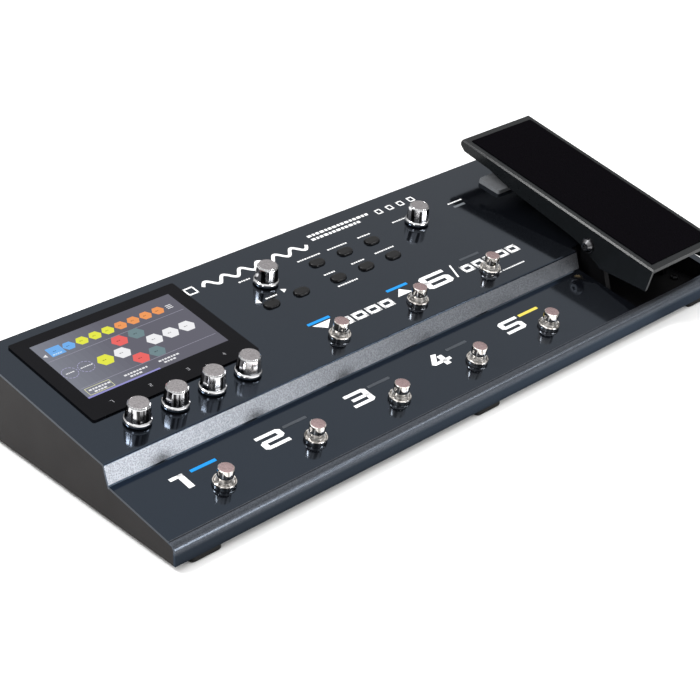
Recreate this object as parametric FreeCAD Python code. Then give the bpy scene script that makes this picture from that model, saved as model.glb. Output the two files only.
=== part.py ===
import FreeCAD, Part
import math
import os

# Floor guitar effects pedal: a wedge-shaped sheet-metal case that carries eight
# footswitches, a touch display, six knobs, eight push buttons and an expression pedal.
# Frame: +X to the player's right, +Y to the rear, +Z up. The origin is on the floor,
# under the middle of the whole object. All sizes are in millimetres.

# ---------------------------------------------------------------- case
case_width = 460.0
case_depth = 174.0            # front face to the rear edge of the cover
foot_height = 4.0             # floor to the underside of the tray
socket_reach = 6.0            # the jack noses stand this far behind the cover
cover_gauge = 1.5
tray_gauge = 1.2
rear_panel_gauge = 1.5
front_face_height = 9.5       # heights are from the underside of the tray
lip_depth = 1.9
lip_height = 12.6
step_foot_depth = 53.2
step_foot_height = 20.8
step_top_depth = 57.2
step_top_height = 32.6
rear_height = 49.1
rear_flange = 9.0
bend_radius = 1.2
lip_radius = 4.5              # the two front corners run together in one soft round
cut_reach = 3.0               # how far a hole's cutter stands above and below a deck
groove_behind_lip = 2.5       # a fine groove runs along the lip
groove_width = 0.6
groove_depth = 0.35

# ---------------------------------------------------------------- controls
first_column = 51.0           # left side of the case to the first footswitch
column_pitch = 64.7
column_count = 5
upper_columns = [2, 3, 4]     # columns that also have a footswitch on the upper deck
lower_switch_setback = 30.9   # below the foot of the step, along the lower deck
upper_switch_setback = 15.7   # behind the top of the step, along the upper deck
switch_cap_radius = 4.65
switch_cap_bottom = 5.7
switch_cap_top = 11.0
switch_stem_radius = 3.5
switch_stem_length = 10.2
switch_travel = 1.5
switch_bush_radius = 4.9
switch_bush_top = 4.0
switch_body_side = 15.0
switch_body_height = 9.3
switch_nut_radius = 6.7
switch_nut_height = 2.8
switch_washer_radius = 6.3
switch_washer_height = 0.8
switch_cap_edge = 0.5
switch_cap_lower_edge = 0.3
nut_edge = 0.5
nut_dish = 0.9                # how far the nut's bore lies below its rim
board_hole_radius = 11.25     # in the panel board, round a footswitch body

knob_top_radius = 6.25
knob_base_radius = 7.9
knob_height = 13.0
knob_gap = 0.9                # under the knob, more than its push travel
knob_travel = 0.5
knob_stem_radius = 2.9
knob_stem_end = -6.0          # from the deck face
knob_foot_edge = 0.7
knob_foot_neck = 0.9          # the foot's upper edge comes in by this much
knob_top_edge = 0.6
knob_hole_gap = 1.0
screen_knob_count = 4
screen_knob_pitch = 25.6
knob_row_setback = 18.1
rear_knob_setback = 80.8      # the select knob and the level knob
encoder_side = 12.0
encoder_height = 6.8
rotor_radius = 4.3
rotor_height = 1.4
rotor_bottom = -5.6           # from the deck face
stem_room = -7.2              # the housing's bore goes down to here

button_length = 11.0
button_width = 7.0
button_height = 1.7
button_travel = 0.5
button_columns = [221.5, 245.1, 268.5]
upper_button_setback = 80.0
lower_button_setback = 60.6
page_button_columns = [168.3, 192.0]
page_button_setback = 61.5
button_flange = 1.0           # thickness
button_flange_reach = 0.8     # all round the cap, under the deck
button_edge = 0.9
button_stem_radius = 1.6
key_switch_side = 6.0
key_switch_height = 3.6
key_plunger_radius = 1.7
key_plunger_height = 0.5

light_length = 17.5
light_width = 2.2
light_depth = 5.0
light_rise = 0.15
light_foot_reach = 1.5        # round the bar, under the deck
light_foot_thickness = 1.2
lower_light_setback = 13.6
upper_light_setback = 33.8
pedal_light_place = 350.2
pedal_light_setback = 80.9
pedal_light_length = 10.5

# ---------------------------------------------------------------- display and boards
glass_left = 16.4
glass_width = 115.5
glass_front = 30.4            # behind the top of the step
glass_depth = 79.1
glass_thickness = 1.1
glass_corner = 1.5
display_width = 105.5
display_depth = 67.2
display_thickness = 3.3
board_thickness = 1.6
panel_board_drop = 9.0        # deck face to the upper face of the panel board
panel_board_left = 20.0
panel_board_right = 335.0
panel_board_front = 5.0
panel_board_rear = 98.0
main_board_left = 20.0
main_board_right = 360.0
main_board_front = 72.0
main_board_rear = 160.0
main_board_post_places = [28.0, 190.0, 352.0]
main_board_rear_posts = 142.0
panel_board_front_posts = [28.0, 148.0, 277.0]
panel_board_rear_posts = [138.0, 232.0, 327.0]
# (from the left side, depth, side, height) of the larger parts on the main board
board_parts = [(90.0, 100.0, 20.0, 2.0), (140.0, 105.0, 14.0, 1.5),
               (230.0, 100.0, 12.0, 1.5), (300.0, 110.0, 16.0, 6.0)]
board_post_inset = 4.0
post_height = 5.0
post_radius = 3.0
screw_radius = 1.5
screw_head_radius = 2.8
screw_head_height = 1.7
screw_length = 4.0
screw_head_edge = 0.7
screw_slot_length = 3.2
screw_slot_width = 0.7
screw_slot_depth = 0.8
well_screw_depth = 26.0
well_screw_inset = 10.0
rear_screw_places = [20.0, 160.0, 300.0, 440.0]

# ---------------------------------------------------------------- expression pedal
well_left = 375.5
well_right = 454.0
well_front = 5.5
well_rear = 62.0
well_gauge = 1.2
treadle_left = 380.4
treadle_width = 68.6
treadle_length = 168.5
treadle_pitch = 11.65         # degrees, toe up, at rest
treadle_plate = 3.0
treadle_skirt = 2.0
# (from the heel, below the top) along the lower edge of a skirt
treadle_skirt_line = [(0.6, 16.5), (37.2, 22.4), (39.3, 21.3), (57.1, 15.1), (66.3, 13.9),
                      (121.2, 11.0), (140.8, 7.5)]
# (from the end, below the top) round the toe
treadle_toe_line = [(-4.0, 7.0), (0.0, 4.2), (0.6, 2.6)]
treadle_toe_wall = 3.0
treadle_edge_chamfer = 1.0
pivot_depth = 52.1            # behind the front face
pivot_height = 37.0
pivot_place = 50.4            # along the treadle, from its heel
pivot_drop = 12.5             # below the treadle's top
pivot_shaft_radius = 4.0
pivot_bush_radius = 5.5
pivot_ear_radius = 8.0
pivot_ear_width = 4.0
pivot_ear_front = 19.0        # the ear's foot reaches this far ahead of the pivot
pivot_ear_rear = 13.0
pivot_ear_shoulder = 7.2      # half the ear's width where it meets its round end
bush_flange = 1.0
bush_flange_radius = 7.0
bolt_radius = 2.5
bolt_depth = 12.0
bolt_head_radius = 4.4
bolt_head_height = 2.6
bolt_head_rim = 0.6
bolt_crown_radius = 2.64
bolt_socket = 3.0
bolt_socket_floor = 0.8
washer_radius = 4.95
washer_thickness = 0.8
mat_inset = 4.6
mat_thickness = 1.4
mat_recess = 0.8
mat_gap = 0.15
sensor_radius = 8.0
sensor_width = 8.0
sensor_lug_width = 10.0
sensor_lug_drop = 14.0        # the lug reaches this far below the shaft
sensor_lug_thickness = 3.0
toe_down_angle = 8.0          # degrees from rest to the toe stop
pad_front = 132.6
pad_length = 18.8
pad_left = 383.7
pad_thickness = 3.0
pad_corner = 1.5
stop_side_margin = 4.0        # the treadle's stop is this much narrower than the pad, each side
stop_end_margin = 1.0
toe_plunger_radius = 4.0
toe_plunger_travel = 1.5
toe_flange_reach = 1.0
toe_flange_thickness = 1.0
toe_stem_radius = 2.0
toe_stem_end = -5.5           # from the deck face
toe_switch_side = 14.0
toe_switch_height = 9.0

# ---------------------------------------------------------------- rear sockets
jack_places = [435.0, 395.0, 370.0, 330.0, 305.0, 275.0, 240.0, 215.0]
jack_height = 22.0
jack_bore_radius = 3.2
jack_bore_length = 33.0
jack_nose_radius = 4.75
jack_body_width = 16.0
jack_body_height = 13.0
jack_nut_flats = 12.7
jack_nut_height = 2.4
jack_wall = 1.5               # behind the blind end of a jack's bore
mini_jack_places = [180.0, 162.0]
mini_bore_radius = 1.8
mini_bore_length = 15.0
mini_nose_radius = 3.0
mini_nose_out = 1.0
mini_body_side = 8.0
usb_place = 130.0
usb_width = 12.0
usb_height = 11.0
usb_depth = 16.0
usb_mouth_width = 8.6
usb_mouth_height = 7.9
usb_tongue_width = 5.6
usb_tongue_height = 3.2
usb_back_wall = 4.0
usb_tongue_setback = 1.5
power_inlet_place = 80.0
power_inlet_side = 11.0
power_inlet_depth = 14.0
power_inlet_bore = 2.85
power_inlet_pin = 1.0
power_inlet_back_wall = 3.0
power_inlet_pin_setback = 0.8
rocker_place = 45.0
rocker_width = 15.0
rocker_height = 9.0
rocker_frame_rim = 2.0
rocker_frame_wall = 1.0
rocker_frame_proud = 1.2
rocker_frame_back = 2.0
rocker_depth = 14.0
rocker_tilt = 8.0
rocker_proud = 2.2            # the paddle's middle stands this far outside the panel
rocker_side = 1.5             # depth of the paddle's two side edges
rocker_shoulder = 6.0         # depth of the paddle behind its edges
rocker_keel = 8.0             # and behind its middle

# ---------------------------------------------------------------- feet
foot_length = 21.0
foot_depth = 15.0
foot_places = [21.1, 233.6, 437.1]
front_foot_setback = 0.3      # behind the front face
rear_foot_setback = 3.0       # ahead of the cover's rear edge
foot_corner = 3.0
foot_lower_edge = 1.0

# ---------------------------------------------------------------- clearances
running = 0.06                # radial, round a turning or sliding stem
screw_gap = 0.1               # radial, round a screw or bolt
light_gap = 0.1               # round a light bar in its slot
bite = 1.0                    # how far a cutter or a joined part runs past a face
slot_gap = 0.25               # round a button or a light in the cover
free_gap = 0.3                # between parts that move past each other

x_left = -case_width / 2
y_front = -(case_depth + socket_reach) / 2


# ================================================================ shape helpers
def across(distance):
    """X of a point that lies this far from the left side of the case."""
    return x_left + distance


def side_point(depth, height, x=0.0):
    """A point at this depth behind the front face and height over the tray's underside."""
    return FreeCAD.Vector(x, y_front + depth, foot_height + height)


def prism(outline, x0, x1):
    """A side outline of (depth, height) points, carried across from x0 to x1."""
    points = [side_point(depth, height, x0) for depth, height in outline]
    face = Part.Face(Part.makePolygon(points + points[:1]))
    return face.extrude(FreeCAD.Vector(x1 - x0, 0, 0))


def rod(radius, z0, z1, x=0.0, y=0.0):
    return Part.makeCylinder(radius, z1 - z0, FreeCAD.Vector(x, y, z0))


def rod_back(radius, depth0, depth1, x, height):
    """A round bar along Y between two depths."""
    return Part.makeCylinder(radius, depth1 - depth0, side_point(depth0, height, x),
                             FreeCAD.Vector(0, 1, 0))


def rod_across(radius, x0, x1, depth, height):
    """A round bar along X."""
    return Part.makeCylinder(radius, x1 - x0, side_point(depth, height, x0),
                             FreeCAD.Vector(1, 0, 0))


def block(width, depth, z0, z1, x=0.0, y=0.0):
    return Part.makeBox(width, depth, z1 - z0,
                        FreeCAD.Vector(x - width / 2, y - depth / 2, z0))


def block_back(width, height, depth0, depth1, x, middle_height):
    """A block along Y between two depths, centred on x and on a height."""
    corner = side_point(depth0, middle_height - height / 2, x - width / 2)
    return Part.makeBox(width, depth1 - depth0, height, corner)


def stadium(length, width, z0, z1):
    """A flat bar with round ends, centred on the origin."""
    reach = (length - width) / 2
    middle = block(2 * reach, width, z0, z1)
    ends = [rod(width / 2, z0, z1, x=side * reach) for side in (-1, 1)]
    return middle.fuse(ends).removeSplitter()


def turned(outline):
    """A solid of revolution about Z from (radius, z) points."""
    points = [FreeCAD.Vector(radius, 0, z) for radius, z in outline]
    face = Part.Face(Part.makePolygon(points + points[:1]))
    return face.revolve(FreeCAD.Vector(0, 0, 0), FreeCAD.Vector(0, 0, 1), 360)


def hexagon(flats, z0, z1):
    corner = flats / math.sqrt(3)
    points = [FreeCAD.Vector(corner * math.cos(math.radians(60 * i)),
                             corner * math.sin(math.radians(60 * i)), z0) for i in range(6)]
    face = Part.Face(Part.makePolygon(points + points[:1]))
    return face.extrude(FreeCAD.Vector(0, 0, z1 - z0))


def round_upright(solid, radius):
    """Round the upright edges of a block or plate."""
    upright = [edge for edge in solid.Edges
               if abs(edge.tangentAt(edge.FirstParameter).z) > 0.99]
    return solid.makeFillet(radius, upright)


def inner_line(outline, distance):
    """The outline shifted to its inner side by a sheet's thickness, with mitred bends."""
    shifted = []
    for (a, b), (c, d) in zip(outline, outline[1:]):
        length = math.hypot(c - a, d - b)
        across_x, across_y = (d - b) / length * distance, -(c - a) / length * distance
        shifted.append(((a + across_x, b + across_y), (c + across_x, d + across_y)))
    line = [shifted[0][0]]
    for ((a, b), (c, d)), ((e, f), (g, h)) in zip(shifted, shifted[1:]):
        ux, uy, vx, vy = c - a, d - b, g - e, h - f
        along = ((e - a) * vy - (f - b) * vx) / (ux * vy - uy * vx)
        line.append((a + along * ux, b + along * uy))
    return line + [shifted[-1][1]]


def moved(shape, spot, turn=FreeCAD.Rotation()):
    copy = shape.copy()
    copy.Placement = FreeCAD.Placement(spot, turn)
    return copy


def round_bends(solid, corners, radius):
    """Round the edges across the case that pass through these (depth, height) corners."""
    chosen = []
    for depth, height in corners:
        point = side_point(depth, height)
        for edge in solid.Edges:
            ends = [vertex.Point for vertex in edge.Vertexes]
            off = max(math.hypot(p.y - point.y, p.z - point.z) for p in ends)
            if off < 1e-4:
                chosen.append(edge)
    return solid.makeFillet(radius, chosen)


# ================================================================ decks
front_line = [(0, 0), (0, front_face_height), (lip_depth, lip_height)]
step_foot = (step_foot_depth, step_foot_height)
step_top = (step_top_depth, step_top_height)
rear_top = (case_depth, rear_height)
cover_line = front_line + [step_foot, step_top, rear_top, (case_depth, rear_height - rear_flange)]


def deck_frame(start, end, origin):
    """A frame on a sloping deck: X across, Y up the slope, Z square to the deck."""
    angle = math.degrees(math.atan2(end[1] - start[1], end[0] - start[0]))
    turn = FreeCAD.Rotation(FreeCAD.Vector(1, 0, 0), angle)
    return FreeCAD.Placement(side_point(*origin), turn)


lower_deck = deck_frame(front_line[-1], step_foot, step_foot)
upper_deck = deck_frame(step_top, rear_top, step_top)


def seat(shape, deck, place, setback):
    """Put a shape built about the origin onto a deck. A lower-deck setback is negative."""
    spot = FreeCAD.Placement(FreeCAD.Vector(across(place), setback, 0), FreeCAD.Rotation())
    seated = shape.copy()
    seated.Placement = deck.multiply(spot).multiply(shape.Placement)
    return seated


columns = [first_column + i * column_pitch for i in range(column_count)]
lower_switches = [(lower_deck, place, -lower_switch_setback) for place in columns]
upper_switches = [(upper_deck, columns[i], upper_switch_setback) for i in upper_columns]
switch_seats = lower_switches + upper_switches

knob_row_middle = glass_left + glass_width / 2
screen_knob_seats = [
    (upper_deck, knob_row_middle + (i - (screen_knob_count - 1) / 2) * screen_knob_pitch,
     knob_row_setback) for i in range(screen_knob_count)]
select_knob_seat = (upper_deck, columns[2], rear_knob_setback)
level_knob_seat = (upper_deck, columns[4], rear_knob_setback)
encoder_seats = screen_knob_seats + [select_knob_seat]
knob_seats = encoder_seats + [level_knob_seat]

button_seats = {}
for side, place in zip(("left", "right"), page_button_columns):
    button_seats["page_button_" + side] = (upper_deck, place, page_button_setback)
for number, place in enumerate(button_columns, start=1):
    button_seats["upper_button_%d" % number] = (upper_deck, place, upper_button_setback)
    button_seats["lower_button_%d" % number] = (upper_deck, place, lower_button_setback)

light_seats = [(lower_deck, place, -lower_light_setback) for place in columns]
light_seats += [(upper_deck, columns[i], upper_light_setback) for i in upper_columns]
pedal_light_seat = (upper_deck, pedal_light_place, pedal_light_setback)

toe_switch_place = treadle_left + treadle_width / 2
pad_width = 2 * (toe_switch_place - pad_left)
pad_setback = (pad_front + pad_length / 2 - step_top_depth) / math.cos(upper_deck.Rotation.Angle)
toe_switch_seat = (upper_deck, toe_switch_place, pad_setback)

display_seat = (upper_deck, glass_left + glass_width / 2, glass_front + glass_depth / 2)

board_top = -panel_board_drop
board_bottom = board_top - board_thickness
key_switch_top = board_top + key_switch_height
rotor_room = (rotor_bottom - free_gap, rotor_bottom + rotor_height + free_gap)
front_row = panel_board_front + board_post_inset
rear_row = panel_board_rear - board_post_inset
panel_board_posts = [(place, front_row) for place in panel_board_front_posts]
panel_board_posts += [(place, rear_row) for place in panel_board_rear_posts]
main_board_posts = [(place, depth) for place in main_board_post_places
                    for depth in (main_board_front + board_post_inset, main_board_rear_posts)]
well_screw_spots = [(place, well_screw_depth)
                    for place in (well_left + well_screw_inset, well_right - well_screw_inset)]
rear_screw_height = rear_height - rear_flange / 2 - screw_head_edge

pivot_x0 = across(treadle_left)
pivot_x1 = pivot_x0 + treadle_width
pivot_turn = FreeCAD.Rotation(FreeCAD.Vector(1, 0, 0), treadle_pitch)
ear_left = pivot_x0 + treadle_skirt + free_gap + bush_flange
ear_right = pivot_x1 - treadle_skirt - free_gap - bush_flange - pivot_ear_width
toe_flange_top = -cover_gauge - free_gap

panel_face = case_depth - cover_gauge
panel_back = panel_face - rear_panel_gauge
nose_end = case_depth + socket_reach
rocker_axis = (panel_face, jack_height)


# ================================================================ case pieces
def under_cover(x0, x1):
    """All the space under the cover, down to the tray's underside."""
    line = inner_line(cover_line, cover_gauge)
    rear = line[-1][0]
    return prism(line[:-1] + [(rear, 0)], x0, x1)


def top_cover():
    """One folded sheet: front face, lip, lower deck, step, upper deck and rear flange."""
    outline = cover_line + inner_line(cover_line, cover_gauge)[::-1]
    cover = prism(outline, x_left, x_left + case_width)
    cover = round_bends(cover, [step_top, rear_top], bend_radius)
    cover = round_bends(cover, front_line[1:], lip_radius)
    below, above = -cut_reach, cut_reach

    holes = [seat(rod(switch_bush_radius + slot_gap, below, above), *spot)
             for spot in switch_seats]
    holes += [seat(rod(knob_stem_radius + knob_hole_gap, below, above), *spot) for spot in knob_seats]
    holes += [seat(stadium(button_length + 2 * slot_gap, button_width + 2 * slot_gap,
                           below, above), *spot) for spot in button_seats.values()]
    holes += [seat(block(light_length, light_width, below, above), *spot)
              for spot in light_seats]
    holes.append(seat(block(pedal_light_length, light_width, below, above), *pedal_light_seat))
    holes.append(seat(block(display_width + 2 * slot_gap, display_depth + 2 * slot_gap,
                            below, above), *display_seat))
    holes.append(seat(rod(toe_plunger_radius + free_gap, below, above), *toe_switch_seat))
    well = [(well_front, 0), (well_rear, 0), (well_rear, rear_height), (well_front, rear_height)]
    holes.append(prism(well, across(well_left), across(well_right)))
    groove = block(case_width, groove_width, -groove_depth, bite)
    lip_setback = -math.hypot(step_foot_depth - lip_depth, step_foot_height - lip_height)
    holes.append(seat(groove, lower_deck, case_width / 2, lip_setback + groove_behind_lip))
    cover = cover.cut(holes + rear_screw_holes())

    studs = [seat(rod(post_radius, board_top, -cover_gauge / 2).cut(
        rod(screw_radius, board_top, board_top + screw_length)), upper_deck, place, setback)
        for place, setback in panel_board_posts]
    return cover.fuse(studs)


def well_screw_holes():
    return [Part.makeCylinder(screw_radius, tray_gauge + well_gauge,
                              side_point(depth, 0, across(place)))
            for place, depth in well_screw_spots]


def rear_screw_holes():
    return [rod_back(screw_radius, case_depth - screw_length, case_depth, across(place),
                     rear_screw_height) for place in rear_screw_places]


def chassis_tray():
    """The folded tray: floor, both side walls and the posts of the main board."""
    front = cover_gauge
    rear = case_depth - cover_gauge
    floor = [(front, 0), (rear, 0), (rear, tray_gauge), (front, tray_gauge)]
    tray = prism(floor, x_left, x_left + case_width)
    walls = [under_cover(x_left, x_left + tray_gauge),
             under_cover(-x_left - tray_gauge, -x_left)]
    tray = tray.fuse(walls).removeSplitter().cut(well_screw_holes())
    posts = []
    for place, depth in main_board_posts:
        foot = side_point(depth, tray_gauge, across(place))
        post = Part.makeCylinder(post_radius, post_height, foot)
        thread = Part.makeCylinder(screw_radius, screw_length,
                                   foot + FreeCAD.Vector(0, 0, post_height - screw_length))
        posts.append(post.cut(thread))
    return tray.fuse(posts)


def rear_panel():
    """The plate that closes the rear and carries every socket."""
    inner = x_left + tray_gauge
    rear = case_depth - cover_gauge
    front = rear - rear_panel_gauge
    plate = under_cover(inner, -inner).common(
        prism([(front, tray_gauge), (rear, tray_gauge), (rear, rear_height),
               (front, rear_height)], inner, -inner))
    through = (front - bite, rear + bite)
    holes = [rod_back(jack_nose_radius, *through, across(place), jack_height)
             for place in jack_places]
    holes += [rod_back(mini_nose_radius, *through, across(place), jack_height)
              for place in mini_jack_places]
    holes.append(block_back(usb_width, usb_height, *through, across(usb_place), jack_height))
    holes.append(block_back(power_inlet_side, power_inlet_side, *through,
                            across(power_inlet_place), jack_height))
    holes.append(block_back(rocker_width + 2 * (free_gap + rocker_frame_wall),
                            rocker_height + 2 * (free_gap + rocker_frame_wall), *through,
                            across(rocker_place), jack_height))
    return plate.cut(holes + rear_screw_holes())


def rubber_feet():
    """Six moulded feet under the front and rear edges of the tray."""
    feet = []
    front = front_foot_setback + foot_depth / 2
    rear = case_depth - rear_foot_setback - foot_depth / 2
    for place in foot_places:
        for depth in (front, rear):
            foot = block(foot_length, foot_depth, 0, foot_height, across(place), y_front + depth)
            foot = round_upright(foot, foot_corner)
            rim = [edge for edge in foot.Edges
                   if max(vertex.Z for vertex in edge.Vertexes) < 1e-6]
            feet.append(foot.makeFillet(foot_lower_edge, rim))
    return feet


def pan_screw():
    """A pan-head screw that points down -Z: its head sits on z = 0 and its shank is below."""
    head = rod(screw_head_radius, 0, screw_head_height)
    rim = [edge for edge in head.Edges if edge.Vertexes[0].Z > 1e-6 and edge.isClosed()]
    head = head.makeFillet(screw_head_edge, rim[:1])
    levels = (screw_head_height - screw_slot_depth, screw_head_height + bite)
    slots = [block(screw_slot_length, screw_slot_width, *levels),
             block(screw_slot_width, screw_slot_length, *levels)]
    return head.fuse(rod(screw_radius, free_gap - screw_length, 0)).cut(slots)


def case_screws():
    """The same small screw everywhere: both boards, the pedal well and the rear flange."""
    screw = pan_screw()
    screws = []
    upside_down = FreeCAD.Placement(FreeCAD.Vector(0, 0, board_bottom),
                                    FreeCAD.Rotation(FreeCAD.Vector(1, 0, 0), 180))
    turned_over = screw.copy()
    turned_over.Placement = upside_down
    for place, setback in panel_board_posts:
        screws.append(seat(turned_over, upper_deck, place, setback))
    for place, depth in main_board_posts:
        spot = side_point(depth, tray_gauge + post_height + board_thickness, across(place))
        screws.append(moved(screw, spot))
    for place, depth in well_screw_spots:
        screws.append(moved(screw, side_point(depth, tray_gauge + well_gauge, across(place))))
    facing_back = FreeCAD.Rotation(FreeCAD.Vector(1, 0, 0), -90)
    for place in rear_screw_places:
        screws.append(moved(screw, side_point(case_depth, rear_screw_height, across(place)),
                            facing_back))
    return screws


# ================================================================ controls
def footswitch_body():
    """The switch under the deck with its threaded bush and blind plunger bore."""
    body = block(switch_body_side, switch_body_side, -cover_gauge - switch_body_height,
                 -cover_gauge)
    bush = rod(switch_bush_radius, -cover_gauge - bite, switch_bush_top)
    bore = rod(switch_stem_radius + running, switch_cap_bottom - switch_stem_length
               - switch_travel - free_gap, switch_bush_top + bite)
    return body.fuse(bush).cut(bore)


def footswitch_nut():
    """A round dress nut with a dished top, on its own flat washer rim."""
    top = switch_nut_height
    lower_edge = switch_nut_radius - switch_washer_radius
    return turned([(switch_bush_radius, 0), (switch_washer_radius, 0),
                   (switch_washer_radius, switch_washer_height),
                   (switch_nut_radius, switch_washer_height + lower_edge),
                   (switch_nut_radius, top - nut_edge), (switch_nut_radius - nut_edge, top),
                   (switch_bush_radius + nut_edge, top - nut_dish),
                   (switch_bush_radius, top - nut_dish)])


def footswitch_cap():
    """The turned metal cap and its plunger stem, in one piece."""
    stem_end = switch_cap_bottom - switch_stem_length
    lower = switch_cap_lower_edge
    upper = switch_cap_edge
    return turned([(0, stem_end), (switch_stem_radius, stem_end),
                   (switch_stem_radius, switch_cap_bottom),
                   (switch_cap_radius - lower, switch_cap_bottom),
                   (switch_cap_radius, switch_cap_bottom + lower),
                   (switch_cap_radius, switch_cap_top - upper),
                   (switch_cap_radius - upper, switch_cap_top), (0, switch_cap_top)])


def knob():
    """A tapered knob with a flared foot and a moulded stem that goes down through the deck."""
    foot = knob_gap + knob_foot_edge
    return turned([(0, knob_stem_end), (knob_stem_radius, knob_stem_end),
                   (knob_stem_radius, knob_gap), (knob_base_radius - knob_foot_edge, knob_gap),
                   (knob_base_radius, foot), (knob_base_radius, foot + knob_foot_neck),
                   (knob_base_radius - knob_foot_neck, foot + 2 * knob_foot_neck),
                   (knob_top_radius, knob_height - knob_top_edge),
                   (knob_top_radius - knob_top_edge, knob_height), (0, knob_height)])


def encoder_housing():
    """The housing of a rotary encoder or potentiometer, on the panel board."""
    housing = block(encoder_side, encoder_side, board_top, board_top + encoder_height)
    neck = rod(knob_stem_radius + running, stem_room, 0)
    room = rod(rotor_radius + free_gap, *rotor_room)
    return housing.cut([neck, room])


def encoder_rotor():
    """The ring in the housing that turns with the knob while its stem slides through."""
    ring = rod(rotor_radius, rotor_bottom, rotor_bottom + rotor_height)
    return ring.cut(rod(knob_stem_radius + running, rotor_bottom - bite, 0))


def button():
    """A rounded cap, the flange that keeps it under the deck and the stem to its switch."""
    flange_top = -cover_gauge - free_gap
    cap = stadium(button_length, button_width, flange_top, button_height)
    rim = [edge for edge in cap.Edges if min(v.Z for v in edge.Vertexes) > button_height - 1e-6]
    cap = cap.makeFillet(button_edge, rim)
    flange = stadium(button_length + 2 * button_flange_reach,
                     button_width + 2 * button_flange_reach, flange_top - button_flange,
                     flange_top)
    stem = rod(button_stem_radius, key_switch_top + button_travel + slot_gap, flange_top)
    return cap.fuse([flange, stem]).removeSplitter()


def key_switch():
    """The small square switch under a button."""
    shoulder = key_switch_top - key_plunger_height
    body = block(key_switch_side, key_switch_side, board_top, shoulder)
    return body.fuse(rod(key_plunger_radius, shoulder, key_switch_top))


def light_bar(length):
    """A clear light guide that fills its slot in the deck."""
    guide = block(length - 2 * light_gap, light_width - 2 * light_gap, -light_depth, light_rise)
    foot = block(length + 2 * light_foot_reach, light_width + 2 * light_foot_reach,
                 -cover_gauge - light_foot_thickness, -cover_gauge)
    return guide.fuse(foot).removeSplitter()


# ================================================================ display and boards
def touch_glass():
    glass = round_upright(block(glass_width, glass_depth, 0, glass_thickness), glass_corner)
    return seat(glass, *display_seat)


def display_module():
    panel = block(display_width, display_depth, -display_thickness, 0)
    return seat(panel, *display_seat)


def panel_board():
    """The board under the upper deck that carries the encoders, the keys and the lights."""
    middle = (panel_board_front + panel_board_rear) / 2
    board = block(panel_board_right - panel_board_left, panel_board_rear - panel_board_front,
                  board_bottom, board_top)
    board = seat(board, upper_deck, (panel_board_left + panel_board_right) / 2, middle)
    through = (board_bottom - bite, board_top + bite)
    holes = [seat(rod(board_hole_radius, *through), *spot) for spot in upper_switches]
    holes += [seat(rod(screw_radius + screw_gap, *through), upper_deck, *spot)
              for spot in panel_board_posts]
    return board.cut(holes)


def main_board():
    """The processor board on its posts over the tray's floor, with its larger parts."""
    low = tray_gauge + post_height
    top = low + board_thickness
    board = prism([(main_board_front, low), (main_board_rear, low), (main_board_rear, top),
                   (main_board_front, top)], across(main_board_left), across(main_board_right))
    holes = [Part.makeCylinder(screw_radius + screw_gap, board_thickness + 2 * bite,
                               side_point(depth, low - bite, across(place)))
             for place, depth in main_board_posts]
    board = board.cut(holes)
    for place, depth, side, height in board_parts:
        chip = block(side, side, 0, height)
        board = board.fuse(moved(chip, side_point(depth, top, across(place))))
    return board


# ================================================================ expression pedal
def on_treadle(shape):
    """Tip a shape drawn with the pivot at depth and height zero to the rest pitch."""
    return moved(shape, side_point(pivot_depth, pivot_height), pivot_turn)


def treadle_prism(outline, x0, x1):
    """An outline of (place from the heel, depth below the top) points across the treadle."""
    points = [FreeCAD.Vector(x0, place - pivot_place, pivot_drop - drop)
              for place, drop in outline]
    face = Part.Face(Part.makePolygon(points + points[:1]))
    return face.extrude(FreeCAD.Vector(x1 - x0, 0, 0))


def treadle():
    """A cast inverted channel: a top plate, two skirts and a closed, rounded toe."""
    end = treadle_length
    outline = [(0, 0)] + treadle_skirt_line
    outline += [(end + place, drop) for place, drop in treadle_toe_line] + [(end, 0)]
    body = treadle_prism(outline, pivot_x0, pivot_x1)
    edges = []
    for edge in body.Edges:
        ends = [vertex.Point for vertex in edge.Vertexes]
        if all(abs(p.z - pivot_drop) < 1e-6 for p in ends) and abs(ends[0].x - ends[1].x) < 1e-6:
            edges.append(edge)
    body = body.makeChamfer(treadle_edge_chamfer, edges)
    inner_end = end - treadle_toe_wall
    under = 2 * treadle_skirt_line[1][1]
    inside = [(-bite, treadle_plate), (inner_end, treadle_plate), (inner_end, under),
              (-bite, under)]
    body = body.cut(treadle_prism(inside, pivot_x0 + treadle_skirt, pivot_x1 - treadle_skirt))
    recess = [(mat_inset, -bite), (end - mat_inset, -bite), (end - mat_inset, mat_recess),
              (mat_inset, mat_recess)]
    body = body.cut(treadle_prism(recess, pivot_x0 + mat_inset, pivot_x1 - mat_inset))
    body = body.fuse(toe_stop())
    hole = Part.makeCylinder(bolt_radius + screw_gap, treadle_width + 2 * bite,
                             FreeCAD.Vector(pivot_x0 - bite, 0, 0), FreeCAD.Vector(1, 0, 0))
    return on_treadle(body.cut(hole))


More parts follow.
